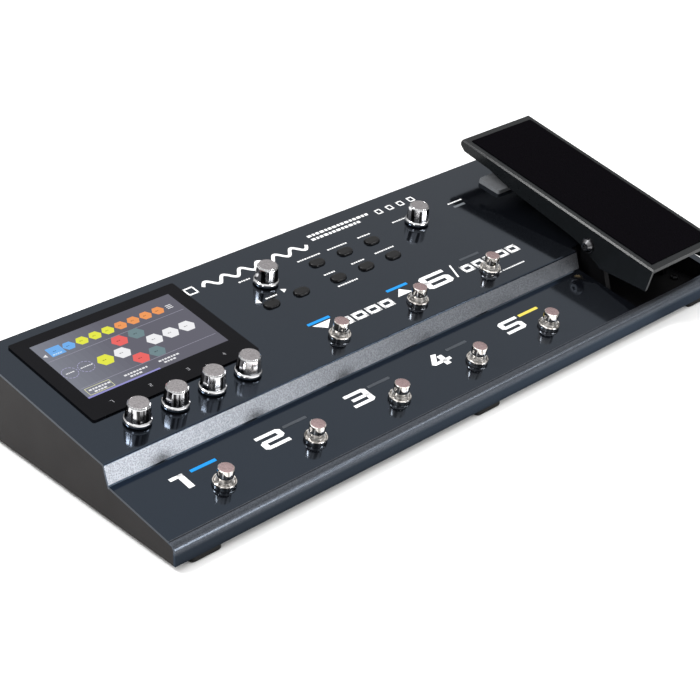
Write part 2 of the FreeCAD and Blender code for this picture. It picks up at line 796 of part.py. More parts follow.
def toe_stop():
    """The block under the plate that meets the toe pad with the toe right down."""
    half = pad_width / 2 - stop_side_margin
    middle = (pivot_x0 + pivot_x1) / 2
    down = pivot_turn.Angle - math.radians(toe_down_angle)
    slope = upper_deck.Rotation.Angle
    pad_top = upper_deck.multVec(FreeCAD.Vector(0, pad_setback, pad_thickness + free_gap))
    offset = pad_top - side_point(pivot_depth, pivot_height)
    level = -offset.y * math.sin(down) + offset.z * math.cos(down)
    along = offset.y * math.cos(down) + offset.z * math.sin(down)
    tip = math.tan(slope - down)
    reach = pad_length / 2 - stop_end_margin
    ceiling = pivot_drop - treadle_plate
    points = [(along - reach, level - reach * tip), (along + reach, level + reach * tip),
              (along + reach, ceiling), (along - reach, ceiling)]
    corners = [FreeCAD.Vector(middle - half, y, z) for y, z in points]
    face = Part.Face(Part.makePolygon(corners + corners[:1]))
    return face.extrude(FreeCAD.Vector(2 * half, 0, 0))


def treadle_mat():
    """The rough grip sheet, bonded into the recess of the treadle's top."""
    proud = mat_thickness - mat_recess
    inset = mat_inset + mat_gap
    outline = [(inset, -proud), (treadle_length - inset, -proud),
               (treadle_length - inset, mat_recess), (inset, mat_recess)]
    return on_treadle(treadle_prism(outline, pivot_x0 + inset, pivot_x1 - inset))


def pivot_shaft():
    """The steel shaft between the skirts, tapped at both ends for the pivot bolts."""
    x0 = pivot_x0 + treadle_skirt
    x1 = pivot_x1 - treadle_skirt
    shaft = rod_across(pivot_shaft_radius, x0, x1, pivot_depth, pivot_height)
    taps = [rod_across(bolt_radius, x0, x0 + bolt_depth, pivot_depth, pivot_height),
            rod_across(bolt_radius, x1 - bolt_depth, x1, pivot_depth, pivot_height)]
    return shaft.cut(taps)


def pivot_bolt(x, outward):
    """A button-head socket bolt whose head lies outside the skirt at x."""
    seat_z = washer_thickness
    tip = bite - treadle_skirt - bolt_depth
    crown = seat_z + bolt_head_height
    bolt = turned([(0, tip), (bolt_radius, tip), (bolt_radius, seat_z),
                   (bolt_head_radius, seat_z), (bolt_head_radius, seat_z + bolt_head_rim),
                   (bolt_crown_radius, crown), (0, crown)])
    bolt = bolt.cut(hexagon(bolt_socket, seat_z + bolt_socket_floor, crown + bite))
    turn = FreeCAD.Rotation(FreeCAD.Vector(0, 0, 1), FreeCAD.Vector(outward, 0, 0))
    return moved(bolt, side_point(pivot_depth, pivot_height, x), turn)


def pivot_bolts():
    return [pivot_bolt(pivot_x0, -1), pivot_bolt(pivot_x1, 1)]


def pivot_washers():
    washers = []
    for x0 in (pivot_x0 - washer_thickness, pivot_x1):
        x1 = x0 + washer_thickness
        disc = rod_across(washer_radius, x0, x1, pivot_depth, pivot_height)
        hole = rod_across(bolt_radius, x0 - bite, x1 + bite, pivot_depth, pivot_height)
        washers.append(disc.cut(hole))
    return washers


def pedal_well():
    """The sunk tray under the heel, with the two upright ears that carry the pivot."""
    x0, x1 = across(well_left), across(well_right)
    gauge = well_gauge
    low = tray_gauge
    outside = [(well_front - gauge, low), (well_rear + gauge, low),
               (well_rear + gauge, rear_height), (well_front - gauge, rear_height)]
    inside = [(well_front, low + gauge), (well_rear, low + gauge), (well_rear, rear_height),
              (well_front, rear_height)]
    well = prism(outside, x0 - gauge, x1 + gauge).cut(prism(inside, x0, x1))
    well = well.common(under_cover(x0 - gauge, x1 + gauge)).cut(well_screw_holes())
    floor = low + gauge
    root = floor - gauge / 2
    base0 = pivot_depth - pivot_ear_front
    base1 = min(pivot_depth + pivot_ear_rear, well_rear)
    for ear in (ear_left, ear_right):
        far = ear + pivot_ear_width
        outline = [(base0, root), (base1, root), (pivot_depth + pivot_ear_shoulder, pivot_height),
                   (pivot_depth - pivot_ear_shoulder, pivot_height)]
        plate = prism(outline, ear, far)
        plate = plate.fuse(rod_across(pivot_ear_radius, ear, far, pivot_depth, pivot_height))
        bore = rod_across(pivot_bush_radius, ear - bite, far + bite, pivot_depth, pivot_height)
        well = well.fuse(plate.cut(bore))
    return well.removeSplitter()


def pivot_bushes():
    """Two flanged bushes in the ears, with their flanges towards the skirts."""
    bushes = []
    at_pivot = (pivot_depth, pivot_height)
    for ear, outward in ((ear_left, -1), (ear_right, 1)):
        far = ear + pivot_ear_width
        flange = ear - bush_flange if outward < 0 else far
        sleeve = rod_across(pivot_bush_radius, ear, far, *at_pivot)
        rim = rod_across(bush_flange_radius, flange, flange + bush_flange, *at_pivot)
        bore = rod_across(pivot_shaft_radius + running, ear - bush_flange - bite,
                          far + bush_flange + bite, *at_pivot)
        bushes.append(sleeve.fuse(rim).cut(bore))
    return bushes


def pedal_sensor():
    """The hollow rotary sensor on the inner side of the left ear, round the shaft."""
    x0 = ear_left + pivot_ear_width
    x1 = x0 + sensor_width
    can = rod_across(sensor_radius, x0, x1, pivot_depth, pivot_height)
    front, rear = pivot_depth - sensor_lug_width / 2, pivot_depth + sensor_lug_width / 2
    low = pivot_height - sensor_lug_drop
    lug = prism([(front, low), (rear, low), (rear, pivot_height), (front, pivot_height)],
                x0, x0 + sensor_lug_thickness)
    bore = rod_across(pivot_shaft_radius + free_gap, x0 - bite, x1 + bite,
                      pivot_depth, pivot_height)
    return can.fuse(lug).cut(bore)


def toe_pad():
    """The rubber stop on the upper deck, with a hole for the toe switch's plunger."""
    pad = round_upright(block(pad_width, pad_length, 0, pad_thickness), pad_corner)
    pad = pad.cut(rod(toe_plunger_radius + free_gap, -bite, pad_thickness + bite))
    return seat(pad, *toe_switch_seat)


def toe_plunger():
    flange = rod(toe_plunger_radius + toe_flange_reach, toe_flange_top - toe_flange_thickness,
                 toe_flange_top)
    stem = rod(toe_stem_radius, toe_stem_end, toe_flange_top)
    head = rod(toe_plunger_radius, toe_flange_top, pad_thickness)
    return seat(head.fuse([flange, stem]).removeSplitter(), *toe_switch_seat)


def toe_switch():
    """The cup under the deck that guides the plunger and holds its switch."""
    bottom = -cover_gauge - toe_switch_height
    cup = block(toe_switch_side, toe_switch_side, bottom, -cover_gauge)
    room = toe_plunger_travel + free_gap
    flange_room = rod(toe_plunger_radius + toe_flange_reach + free_gap,
                      toe_flange_top - toe_flange_thickness - room, 0)
    stem_hole = rod(toe_stem_radius + running, toe_stem_end - room, 0)
    return seat(cup.cut([flange_room, stem_hole]), *toe_switch_seat)


# ================================================================ rear sockets
def jack_body(place):
    """A 6.35 mm phone jack: a box inside the panel and a threaded nose through it."""
    x = across(place)
    blind_end = nose_end - jack_bore_length
    body = block_back(jack_body_width, jack_body_height, blind_end - jack_wall, panel_back, x,
                      jack_height)
    nose = rod_back(jack_nose_radius, panel_back - bite, nose_end, x, jack_height)
    bore = rod_back(jack_bore_radius, blind_end, nose_end + bite, x, jack_height)
    return body.fuse(nose).cut(bore)


def jack_nut(place):
    thread = rod(jack_nose_radius, -bite, jack_nut_height + bite)
    nut = hexagon(jack_nut_flats, 0, jack_nut_height).cut(thread)
    return moved(nut, side_point(panel_face, jack_height, across(place)),
                 FreeCAD.Rotation(FreeCAD.Vector(1, 0, 0), -90))


def mini_jack(place):
    """A 3.5 mm jack whose nose fills its hole in the panel."""
    x = across(place)
    end = panel_face + mini_nose_out
    blind_end = end - mini_bore_length
    body = block_back(mini_body_side, mini_body_side, blind_end - jack_wall, panel_back, x,
                      jack_height)
    nose = rod_back(mini_nose_radius, panel_back - bite, end, x, jack_height)
    return body.fuse(nose).cut(rod_back(mini_bore_radius, blind_end, end + bite, x, jack_height))


def usb_socket():
    x = across(usb_place)
    shell = block_back(usb_width, usb_height, panel_face - usb_depth, panel_face, x, jack_height)
    floor = panel_face - usb_depth + usb_back_wall
    mouth = block_back(usb_mouth_width, usb_mouth_height, floor, panel_face + bite, x,
                       jack_height)
    tongue = block_back(usb_tongue_width, usb_tongue_height, floor - bite,
                        panel_face - usb_tongue_setback, x, jack_height)
    return shell.cut(mouth).fuse(tongue)


def power_inlet():
    """The barrel socket for the mains adaptor, with its centre pin."""
    x = across(power_inlet_place)
    shell = block_back(power_inlet_side, power_inlet_side, panel_face - power_inlet_depth,
                       panel_face, x, jack_height)
    start = panel_face - power_inlet_depth + power_inlet_back_wall
    bore = rod_back(power_inlet_bore, start, panel_face + bite, x, jack_height)
    pin = rod_back(power_inlet_pin, start - bite, panel_face - power_inlet_pin_setback, x,
                   jack_height)
    return shell.cut(bore).fuse(pin)


def rocker_frame():
    """The frame of the power switch: a rim outside the panel and a box through it."""
    x = across(rocker_place)
    wall = rocker_frame_wall
    rim_wall = wall + rocker_frame_rim
    width, height = rocker_width + 2 * free_gap, rocker_height + 2 * free_gap
    rim = block_back(width + 2 * rim_wall, height + 2 * rim_wall, panel_face,
                     panel_face + rocker_frame_proud, x, jack_height)
    back = panel_face - rocker_depth
    box = block_back(width + 2 * wall, height + 2 * wall, back, panel_face, x, jack_height)
    room = block_back(width, height, back + rocker_frame_back,
                      panel_face + rocker_frame_proud + bite, x, jack_height)
    return rim.fuse(box).cut(room)


def rocker():
    """The tilting paddle: its outer face has two flats that meet over the pivot."""
    half = rocker_width / 2
    rise = half * math.tan(math.radians(rocker_tilt))
    edge = rocker_side
    shoulder, keel = rocker_shoulder, rocker_keel
    points = [(-half, rise), (0, 0), (half, rise), (half, rise + edge), (half - edge, shoulder),
              (edge, keel), (-edge, keel), (edge - half, shoulder), (-half, rise + edge)]
    x = across(rocker_place)
    low = jack_height - rocker_height / 2
    corners = [side_point(panel_face + rocker_proud - back, low, x + along)
               for along, back in points]
    face = Part.Face(Part.makePolygon(corners + corners[:1]))
    paddle = face.extrude(FreeCAD.Vector(0, 0, rocker_height))
    paddle.rotate(side_point(*rocker_axis, x), FreeCAD.Vector(0, 0, 1), rocker_tilt)
    return paddle


# ================================================================ write the nodes
def write(node, solids):
    """Write one node's solid, or its group of like solids."""
    shape = solids if isinstance(solids, Part.Shape) else Part.makeCompound(solids)
    shape.exportStep("parts/%s.step" % node)


os.makedirs("parts", exist_ok=True)

for make in (top_cover, chassis_tray, rear_panel, rubber_feet, case_screws, touch_glass,
             display_module, panel_board, main_board, pedal_well, pivot_bushes, pedal_sensor,
             toe_pad, toe_switch, toe_plunger, treadle, treadle_mat, pivot_shaft, pivot_bolts,
             pivot_washers, usb_socket, power_inlet, rocker_frame, rocker):
    write(make.__name__, make())

write("footswitch_bodies", [seat(footswitch_body(), *spot) for spot in switch_seats])
write("footswitch_nuts", [seat(footswitch_nut(), *spot) for spot in switch_seats])
for number, spot in enumerate(switch_seats, start=1):
    write("footswitch_cap_%d" % number, seat(footswitch_cap(), *spot))

write("encoder_housings", [seat(encoder_housing(), *spot) for spot in encoder_seats])
write("level_pot", seat(encoder_housing(), *level_knob_seat))
write("select_knob", seat(knob(), *select_knob_seat))
write("level_knob", seat(knob(), *level_knob_seat))
for number, spot in enumerate(encoder_seats, start=1):
    write("encoder_rotor_%d" % number, seat(encoder_rotor(), *spot))
for number, spot in enumerate(screen_knob_seats, start=1):
    write("screen_knob_%d" % number, seat(knob(), *spot))

write("key_switches", [seat(key_switch(), *spot) for spot in button_seats.values()])
for node, spot in button_seats.items():
    write(node, seat(button(), *spot))

write("light_bars", [seat(light_bar(light_length), *spot) for spot in light_seats]
      + [seat(light_bar(pedal_light_length), *pedal_light_seat)])
write("jack_bodies", [jack_body(place) for place in jack_places])
write("jack_nuts", [jack_nut(place) for place in jack_places])
write("mini_jacks", [mini_jack(place) for place in mini_jack_places])
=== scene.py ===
import math

import bmesh
import bpy
from mathutils import Matrix, Vector


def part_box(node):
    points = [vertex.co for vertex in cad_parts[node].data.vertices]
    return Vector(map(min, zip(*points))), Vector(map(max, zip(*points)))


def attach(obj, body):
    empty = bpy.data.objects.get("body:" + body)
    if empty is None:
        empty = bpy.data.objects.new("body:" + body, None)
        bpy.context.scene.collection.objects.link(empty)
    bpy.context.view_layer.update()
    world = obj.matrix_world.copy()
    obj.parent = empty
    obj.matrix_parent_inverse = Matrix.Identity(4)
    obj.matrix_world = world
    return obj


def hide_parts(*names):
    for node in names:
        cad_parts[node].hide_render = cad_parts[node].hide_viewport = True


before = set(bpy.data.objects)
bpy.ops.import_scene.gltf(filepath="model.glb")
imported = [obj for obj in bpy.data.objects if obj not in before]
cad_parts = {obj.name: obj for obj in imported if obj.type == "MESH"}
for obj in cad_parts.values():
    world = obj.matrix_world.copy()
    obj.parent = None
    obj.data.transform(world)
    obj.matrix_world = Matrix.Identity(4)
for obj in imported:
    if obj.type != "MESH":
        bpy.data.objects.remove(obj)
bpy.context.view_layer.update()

# ------------------------------------------------------------------ camera
# A long lens about a metre from the unit, to its front left, looking down at about thirty
# degrees with a slight roll.
camera_place = Vector((-0.65601, -0.63572, 0.52624))
camera_sight = Vector((0.61197, 0.61502, -0.49725))
camera_roll = math.radians(2.08)


def add_object(name, data):
    made = bpy.data.objects.new(name, data)
    bpy.context.scene.collection.objects.link(made)
    return made


camera_data = bpy.data.cameras.new("camera")
camera_data.sensor_width = 36.0
camera_data.lens = 88.45
camera_data.clip_start = 0.05
camera = add_object("camera", camera_data)
camera_turn = camera_sight.to_track_quat("-Z", "Y").to_matrix() @ Matrix.Rotation(camera_roll, 3, "Z")
camera.matrix_world = Matrix.Translation(camera_place) @ camera_turn.to_4x4()
bpy.context.scene.camera = camera


# ------------------------------------------------------------------ studio
# A pale floor under the feet, a surround that is bright overhead and dim at the horizon, and
# five soft lamps over and round the unit. Two in front light the step and the lip's round.
class Wire:
    """One value in a node tree. Python arithmetic on it adds Math nodes."""

    def __init__(self, tree, socket):
        self.tree = tree
        self.socket = socket

    def maths(self, operation, *values):
        return self.tree.node("ShaderNodeMath", {"operation": operation}, *values)

    def __add__(self, other):
        return self.maths("ADD", self, other)

    __radd__ = __add__

    def __sub__(self, other):
        return self.maths("SUBTRACT", self, other)

    def __rsub__(self, other):
        return self.maths("SUBTRACT", other, self)

    def __mul__(self, other):
        return self.maths("MULTIPLY", self, other)

    __rmul__ = __mul__

    def __gt__(self, other):
        return self.maths("GREATER_THAN", self, other)

    def __lt__(self, other):
        return self.maths("LESS_THAN", self, other)


class Tree:
    """Adds nodes to a shader tree or a geometry tree, one call for each node."""

    def __init__(self, node_tree):
        self.node_tree = node_tree
        node_tree.nodes.clear()

    def feed(self, socket, value):
        if isinstance(value, Wire):
            self.node_tree.links.new(value.socket, socket)
        else:
            socket.default_value = value

    def node(self, kind, settings=None, *values, inlets=None, outlet=0):
        made = self.node_tree.nodes.new(kind)
        for name, value in (settings or {}).items():
            if name == "stops":
                ramp = made.color_ramp.elements
                while len(ramp) < len(value):
                    ramp.new(1.0)
                for stop, (place, grey) in zip(ramp, value):
                    stop.position = place
                    stop.color = (grey, grey, grey, 1.0)
            else:
                setattr(made, name, value)
        for place, value in [*enumerate(values), *(inlets or {}).items()]:
            self.feed(made.inputs[place], value)
        return Wire(self, made.outputs[outlet] if len(made.outputs) else None)


class Finish(Tree):
    """A material: one Principled shader, with helpers for what varies over its surface."""

    def __init__(self, name, colour, roughness=0.5, **constants):
        self.material = bpy.data.materials.new(name)
        self.material.use_nodes = True
        super().__init__(self.material.node_tree)
        self.shader = self.node_tree.nodes.new("ShaderNodeBsdfPrincipled")
        outlet = self.node_tree.nodes.new("ShaderNodeOutputMaterial")
        self.node_tree.links.new(self.shader.outputs[0], outlet.inputs[0])
        self.set("Base Color", colour)
        self.set("Roughness", roughness)
        for socket, value in constants.items():
            self.set(socket.replace("_", " "), value)

    def set(self, socket, value):
        if isinstance(value, tuple):
            value = (*value, 1.0)
        self.feed(self.shader.inputs[socket], value)

    def place(self):
        return self.node("ShaderNodeTexCoord", outlet="Object")

    def axes(self):
        """Wires for the three coordinates of the piece in the row frame."""
        outlets = self.node("ShaderNodeSeparateXYZ", None, self.place()).socket.node.outputs
        return [Wire(self, outlet) for outlet in outlets]

    def noise(self, scale, detail=2.0, stretch=(1.0, 1.0, 1.0)):
        place = self.node("ShaderNodeVectorMath", {"operation": "MULTIPLY"}, self.place(), stretch)
        return self.node("ShaderNodeTexNoise",
                         inlets={"Vector": place, "Scale": scale, "Detail": detail})

    def cells(self, scale):
        return self.node("ShaderNodeTexVoronoi", inlets={"Vector": self.place(), "Scale": scale})

    def spread(self, value, low, high, start=0.0, end=1.0):
        """Carry a value from start..end onto low..high."""
        return self.node("ShaderNodeMapRange", None, value, start, end, low, high)

    def mix(self, share, first, second):
        made = self.node("ShaderNodeMix", {"data_type": "RGBA"}, outlet=2)
        sockets = made.socket.node.inputs
        for socket, value in ((sockets[0], share), (sockets[6], first), (sockets[7], second)):
            self.feed(socket, (*value, 1.0) if isinstance(value, tuple) else value)
        return made

    def shade(self, share, colour, swing):
        """The colour, lightened and darkened by a varying share."""
        self.set("Base Color", self.mix(share, tuple(c * (1 - swing) for c in colour),
                                        tuple(c * (1 + swing) for c in colour)))

    def bump(self, height, strength, distance):
        self.set("Normal", self.node("ShaderNodeBump", inlets={
            "Height": height, "Strength": strength, "Distance": distance}))


def closed_mesh(name, corners, faces, join=True):
    """A mesh whose faces point outwards, with its like corners joined unless told not to."""
    mesh = bpy.data.meshes.new(name)
    mesh.from_pydata([tuple(c) for c in corners], [], faces)
    work = bmesh.new()
    work.from_mesh(mesh)
    if join:
        bmesh.ops.remove_doubles(work, verts=work.verts, dist=1e-7)
    bmesh.ops.recalc_face_normals(work, faces=work.faces)
    work.to_mesh(mesh)
    work.free()
    return mesh


floor_reach, paper_white = 12.0, (0.9, 0.9, 0.895)
floor_paper = Finish("floor_paper", paper_white, 0.9, Specular_IOR_Level=0.1)
floor_paper.shade(floor_paper.noise(3.0), paper_white, 0.01)
floor_mesh = closed_mesh("floor", [(x, y, 0) for x, y in (
    (-floor_reach, -floor_reach), (floor_reach, -floor_reach), (floor_reach, floor_reach),
    (-floor_reach, floor_reach))], [(0, 1, 2, 3)])
floor_mesh.materials.append(floor_paper.material)
add_object("floor", floor_mesh)

surround_strength = 1.5
surround_greys = ((0.0, 0.20), (0.22, 0.24), (0.62, 0.62), (0.85, 1.0), (1.0, 1.0))  # by height
surround = bpy.data.worlds.new("surround")
surround.use_nodes = True
surround_tree = Tree(surround.node_tree)
direction = surround_tree.node("ShaderNodeTexCoord", outlet="Generated")
rise = surround_tree.node("ShaderNodeSeparateXYZ", None, direction, outlet="Z")
brightness = surround_tree.node("ShaderNodeValToRGB", {"stops": surround_greys}, rise)
surround_tree.node("ShaderNodeOutputWorld", None, surround_tree.node(
    "ShaderNodeBackground", None, brightness, surround_strength))
bpy.context.scene.world = surround
bpy.context.scene.view_settings.view_transform = "Standard"

for name, place, aim, size, power in (
        ("lamp_overhead", (0.1, 0.2, 1.6), (0, 0, 0), (1.4, 0.9), 5.0),
        ("lamp_step", (0.24, -1.12, 0.10), (-0.23, -0.04, 0.03), (0.5, 0.16), 9.0),
        ("lamp_left", (-1.6, -0.7, 0.55), (-0.2, 0, 0.02), (0.35, 0.9), 5.0),
        ("lamp_back_left", (-0.83, 0.44, 1.22), (0.17, 0, 0.07), (0.3, 0.4), 15.0),
        ("lamp_lip", (1.05, -1.30, 0.60), (0.0, -0.09, 0.03), (0.4, 0.2), 7.0)):
    lamp_data = bpy.data.lights.new(name, "AREA")
    lamp_data.shape = "RECTANGLE"
    lamp_data.size, lamp_data.size_y = size
    lamp_data.energy = power
    lamp = add_object(name, lamp_data)
    lamp.location = place
    lamp.rotation_euler = (Vector(aim) - Vector(place)).to_track_quat("-Z", "Y").to_euler()

# ------------------------------------------------------------------ top cover
# One sheet of steel, folded to the lip, the step and the rear edge, then sprayed a dark glossy
# metallic. The step is masked off and sprayed coarse silver. The lip's round is painted brighter,
# part silver, and made rougher: its brightness is a painted highlight.
cover_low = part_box("top_cover")[0]
lip = (0.0019, 0.0126)            # depth behind the front face, height over the underside
step_foot = (0.0532, 0.0208)
step_top = (0.0572, 0.0326)
rear_edge = (0.1740, 0.0491)
paint_colour = (0.0022, 0.0026, 0.0036)
silver_colour = (0.082, 0.085, 0.092)
mask_setback = 0.0003             # the silver stops this far inside the step's folds
lip_end = 0.0052                  # the front face and lip end this far back
lip_highlight_heights = (0.0100, 0.0126)       # heights over the floor between which the lip is painted brighter, a painted highlight


class Deck:
    """A sloping deck. Places on it run across from the case's left side, then up the slope."""

    def __init__(self, start, end, origin):
        self.angle = math.atan2(end[1] - start[1], end[0] - start[0])
        self.origin = cover_low + Vector((0, *origin))

    def seat(self, across=0.0, up=0.0, lift=0.0, spin=0.0):
        place = Matrix.Translation(self.origin + Vector((across, 0, 0)))
        spot = Matrix.Translation((0, up, lift)) @ Matrix.Rotation(spin, 4, "Z")
        return place @ Matrix.Rotation(self.angle, 4, "X") @ spot


lower_deck = Deck(lip, step_foot, step_foot)
upper_deck = Deck(step_top, rear_edge, step_top)


def dress(material, *nodes):
    """Give CAD nodes their material."""
    for node in nodes:
        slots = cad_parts[node].data.materials
        slots.clear()
        slots.append(material)


def deck_paint():
    finish = Finish("cover_paint", paint_colour, 0.12, Specular_IOR_Level=0.46,
                    Specular_Tint=(0.46, 0.66, 0.95))
    _, depth, height = finish.axes()
    on_step = (depth > cover_low.y + step_foot[0] + mask_setback) * (
        depth < cover_low.y + step_top[0] - mask_setback)
    on_front = depth < cover_low.y + lip_end
    lip_highlight = on_front * finish.spread(height, 0.0, 1.0, *lip_highlight_heights)
    speckle = finish.cells(1300.0)
    flake = finish.noise(900.0, 3.0)
    silver = finish.mix(finish.spread(speckle, 0.0, 1.0, 0.1, 0.7),
                        tuple(c * 0.6 for c in silver_colour),
                        tuple(c * 1.45 for c in silver_colour))
    dark = finish.mix(flake, tuple(c * 0.8 for c in paint_colour),
                      tuple(c * 1.2 for c in paint_colour))
    # the lip's round is mixed part way to silver: a painted highlight, while the step's silver is its
    # own paint
    finish.set("Base Color", finish.mix(on_step + lip_highlight * 0.40, dark, silver))
    finish.set("Metallic", on_step * 0.8 + on_front * 0.55 - lip_highlight * 0.1)
    finish.set("Roughness", finish.spread(finish.noise(40.0), 0.08, 0.11) + on_step * 0.24
               + lip_highlight * 0.20)
    finish.bump(flake * 0.1 + speckle * on_step, 0.5, 0.00008)
    return finish.material


dress(deck_paint(), "top_cover")

# ------------------------------------------------------------------ printed marks
# White screen-printed marks on the decks: a figure beside each footswitch, triangles, rows
# of small blocks beside the controls and one wave line. Each is a film of ink.
ink_thickness = 0.00006
figure_pen = 0.0022
figure_height = 0.0115
figure_foot = -0.0238
column_one, column_pitch = 0.0510, 0.0647
columns = [column_one + i * column_pitch for i in range(5)]
# the middle line of each stroke, in a box one unit wide and one high
figure_strokes = {
    "1": [[(0, 1), (1, 1)], [(1, 1), (1, 0)]],
    "2": [[(0, 1), (1, 1), (1, 0.5), (0, 0.5), (0, 0), (1, 0)]],
    "3": [[(0, 1), (1, 1), (1, 0), (0, 0)], [(0.2, 0.5), (1, 0.5)]],
    "4": [[(0.45, 1), (0, 0.3), (1, 0.3)], [(0.72, 0.72), (0.72, 0)]],
    "5": [[(1, 1), (0, 1), (0, 0.5), (1, 0.5), (1, 0), (0, 0)]],
    "6": [[(1, 1), (0, 1), (0, 0), (1, 0), (1, 0.5), (0, 0.5)]]}


def stroke(line, pen):
    """The outline of one pen stroke along a line, with square ends and mitred corners."""
    points = [Vector(p) for p in line]
    points[0] = points[0] + (points[0] - points[1]).normalized() * pen / 2
    points[-1] = points[-1] + (points[-1] - points[-2]).normalized() * pen / 2
    sides = ([], [])
    for i, point in enumerate(points):
        before = (point - points[i - 1]).normalized() if i else None
        after = (points[i + 1] - point).normalized() if i + 1 < len(points) else None
        along = ((before or after) + (after or before)).normalized()
        normal = Vector((-along.y, along.x))
        reach = pen / 2 / max(0.3, along.dot(before or after))
        sides[0].append(point + normal * reach)
        sides[1].append(point - normal * reach)
    return sides[0] + sides[1][::-1]


def eased(line, cut):
    """A line with its inner corners cut off."""
    points = [Vector(p) for p in line]
    eased_points = [points[0]]
    for before, point, after in zip(points, points[1:], points[2:]):
        for end in (before, after):
            eased_points.append(point + (end - point).normalized() * min(cut, (end - point).length / 3))
    return eased_points + [points[-1]]


def figure(mark, left, foot, width, height, pen, stretch=1.75):
    """Outlines of a figure whose box has its lower left corner at (left, foot). Its upright
    strokes are wider than its level ones by the stretch."""
    outlines = []
    inner_width = width / stretch - pen
    for line in figure_strokes[mark]:
        points = [(pen / 2 + x * inner_width, foot + pen / 2 + y * (height - pen))
                  for x, y in line]
        outlines.append([(left + stretch * x, y) for x, y in stroke(eased(points, pen * 0.3), pen)])
    return outlines


def rectangle(left, foot, width, height):
    return [(left, foot), (left + width, foot), (left + width, foot + height), (left, foot + height)]


def square_ring(left, foot, width, height, pen):
    """Four strokes round a rectangle."""
    low, high = foot + pen / 2, foot + height - pen / 2
    west, east = left + pen / 2, left + width - pen / 2
    return [stroke(line, pen) for line in (
        [(west, low), (east, low)], [(west, high), (east, high)],
        [(west, low), (west, high)], [(east, low), (east, high)])]


def blocks(left, foot, length, height=0.0011):
    """A row of short blocks of changing length."""
    row, start, count = [], left, 0
    while start < left + length:
        size = height * (1.5, 0.9, 1.2)[count % 3]
        row.append(rectangle(start, foot, size, height))
        start += size + height * 0.5
        count += 1
    return row


def add_slab(corners, faces, outline, low, high):
    """Add the corners and faces of one thin closed slab."""
    base, count = len(corners), len(outline)
    corners += [(x, y, low) for x, y in outline] + [(x, y, high) for x, y in outline]
    faces += [[base + i for i in range(count)][::-1], [base + count + i for i in range(count)]]
    faces += [[base + i, base + (i + 1) % count, base + count + (i + 1) % count,
               base + count + i] for i in range(count)]


def film(name, outlines, low, high):
    """A slab for each outline, all in one mesh. Outlines lie on a deck."""
    corners, faces = [], []
    for outline in outlines:
        add_slab(corners, faces, outline, low, high)
    return closed_mesh(name, corners, faces, join=False)


def fit(mesh, materials, body, slot, *replaced, place=Matrix.Identity(4)):
    """Put a finished mesh in its place, dress it and let it ride on its body."""
    mesh.transform(place)
    for material in materials:
        mesh.materials.append(material)
    piece = add_object(mesh.name, mesh)
    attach(piece, body)
    if replaced:
        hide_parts(*replaced)
    return piece


ink_white = (0.78, 0.78, 0.78)
ink = Finish("white_ink", ink_white, 0.4)
ink.shade(ink.noise(1200.0), ink_white, 0.06)
ink.bump(ink.noise(2500.0), 0.2, 0.00002)

figure_widths = (0.0088, 0.0175, 0.0163, 0.0155, 0.0170)
figure_gaps = (0.0136, 0.0110, 0.0110, 0.0110, 0.0110)   # from a figure's right side to its column
lower_marks = []
for mark, column, width, gap in zip("12345", columns, figure_widths, figure_gaps):
    lower_marks += figure(mark, column - gap - width, figure_foot, width, figure_height,
                          figure_pen)
fit(film("lower_marks", lower_marks, -ink_thickness, ink_thickness), [ink.material], "root",
    "deck_paint", place=lower_deck.seat())

upper_marks = figure("6", left=0.2615, foot=0.0200, width=0.0215, height=0.0130, pen=0.0025)
upper_marks.append([(0.1735, 0.0315), (0.1875, 0.0315), (0.1805, 0.0254)])    # bank down
upper_marks.append([(0.2385, 0.0256), (0.2510, 0.0256), (0.24475, 0.0318)])   # bank up
upper_marks.append([(0.1610, 0.0678), (0.1645, 0.0657), (0.1645, 0.0699)])    # page left
upper_marks.append([(0.1865, 0.0690), (0.1830, 0.0669), (0.1830, 0.0711)])    # page right
upper_marks.append(stroke([(0.2868, 0.0215), (0.2910, 0.0325)], pen=0.0012))  # a slash after the 6
upper_marks.append(rectangle(left=0.3060, foot=0.0100, width=0.009, height=0.0012))
# rows of outlined squares: between the bank switches, after the slash, behind the level knob
# and a single one before the wave line
for count, left, pitch, foot, width, height, pen in (
        (4, 0.1895, 0.0112, 0.0213, 0.0094, 0.0070, 0.0021),
        (5, 0.2945, 0.0105, 0.0213, 0.0088, 0.0070, 0.0020),
        (4, 0.2950, 0.0098, 0.1010, 0.0050, 0.0050, 0.0009),
        (1, 0.1330, 0.0, 0.0945, 0.0075, 0.0072, 0.0011)):
    for i in range(count):
        upper_marks += square_ring(left + i * pitch, foot, width, height, pen)
wave_left, wave_right, wave_level, wave_swing, waves = 0.1465, 0.2290, 0.0982, 0.0029, 6
wave_steps, wave_pen = 120, 0.0022
wave = [(wave_left + (wave_right - wave_left) * i / wave_steps,
         wave_level + wave_swing * math.sin(2 * math.pi * waves * i / wave_steps))
        for i in range(wave_steps + 1)]
upper_marks.append(stroke(wave, wave_pen))
for left, up, length in ((0.2120, 0.0868, 0.017), (0.2370, 0.0868, 0.016), (0.2630, 0.0868, 0.011),
                         (0.2160, 0.0670, 0.008), (0.2390, 0.0670, 0.011), (0.2600, 0.0678, 0.015),
                         (0.1665, 0.0890, 0.009), (0.2955, 0.0882, 0.012), (0.1690, 0.0672, 0.009),
                         (0.2150, 0.0533, 0.016), (0.3440, 0.0850, 0.013)):
    upper_marks += blocks(left, up, length)
for left, up, length, height in ((0.2365, 0.1043, 0.052, 0.0021), (0.2365, 0.1002, 0.041, 0.0021),
                                 (0.3165, 0.0100, 0.020, 0.0010)):
    upper_marks += blocks(left, up, length, height)
fit(film("upper_marks", upper_marks, -ink_thickness, ink_thickness), [ink.material], "root",
    "deck_paint", place=upper_deck.seat())

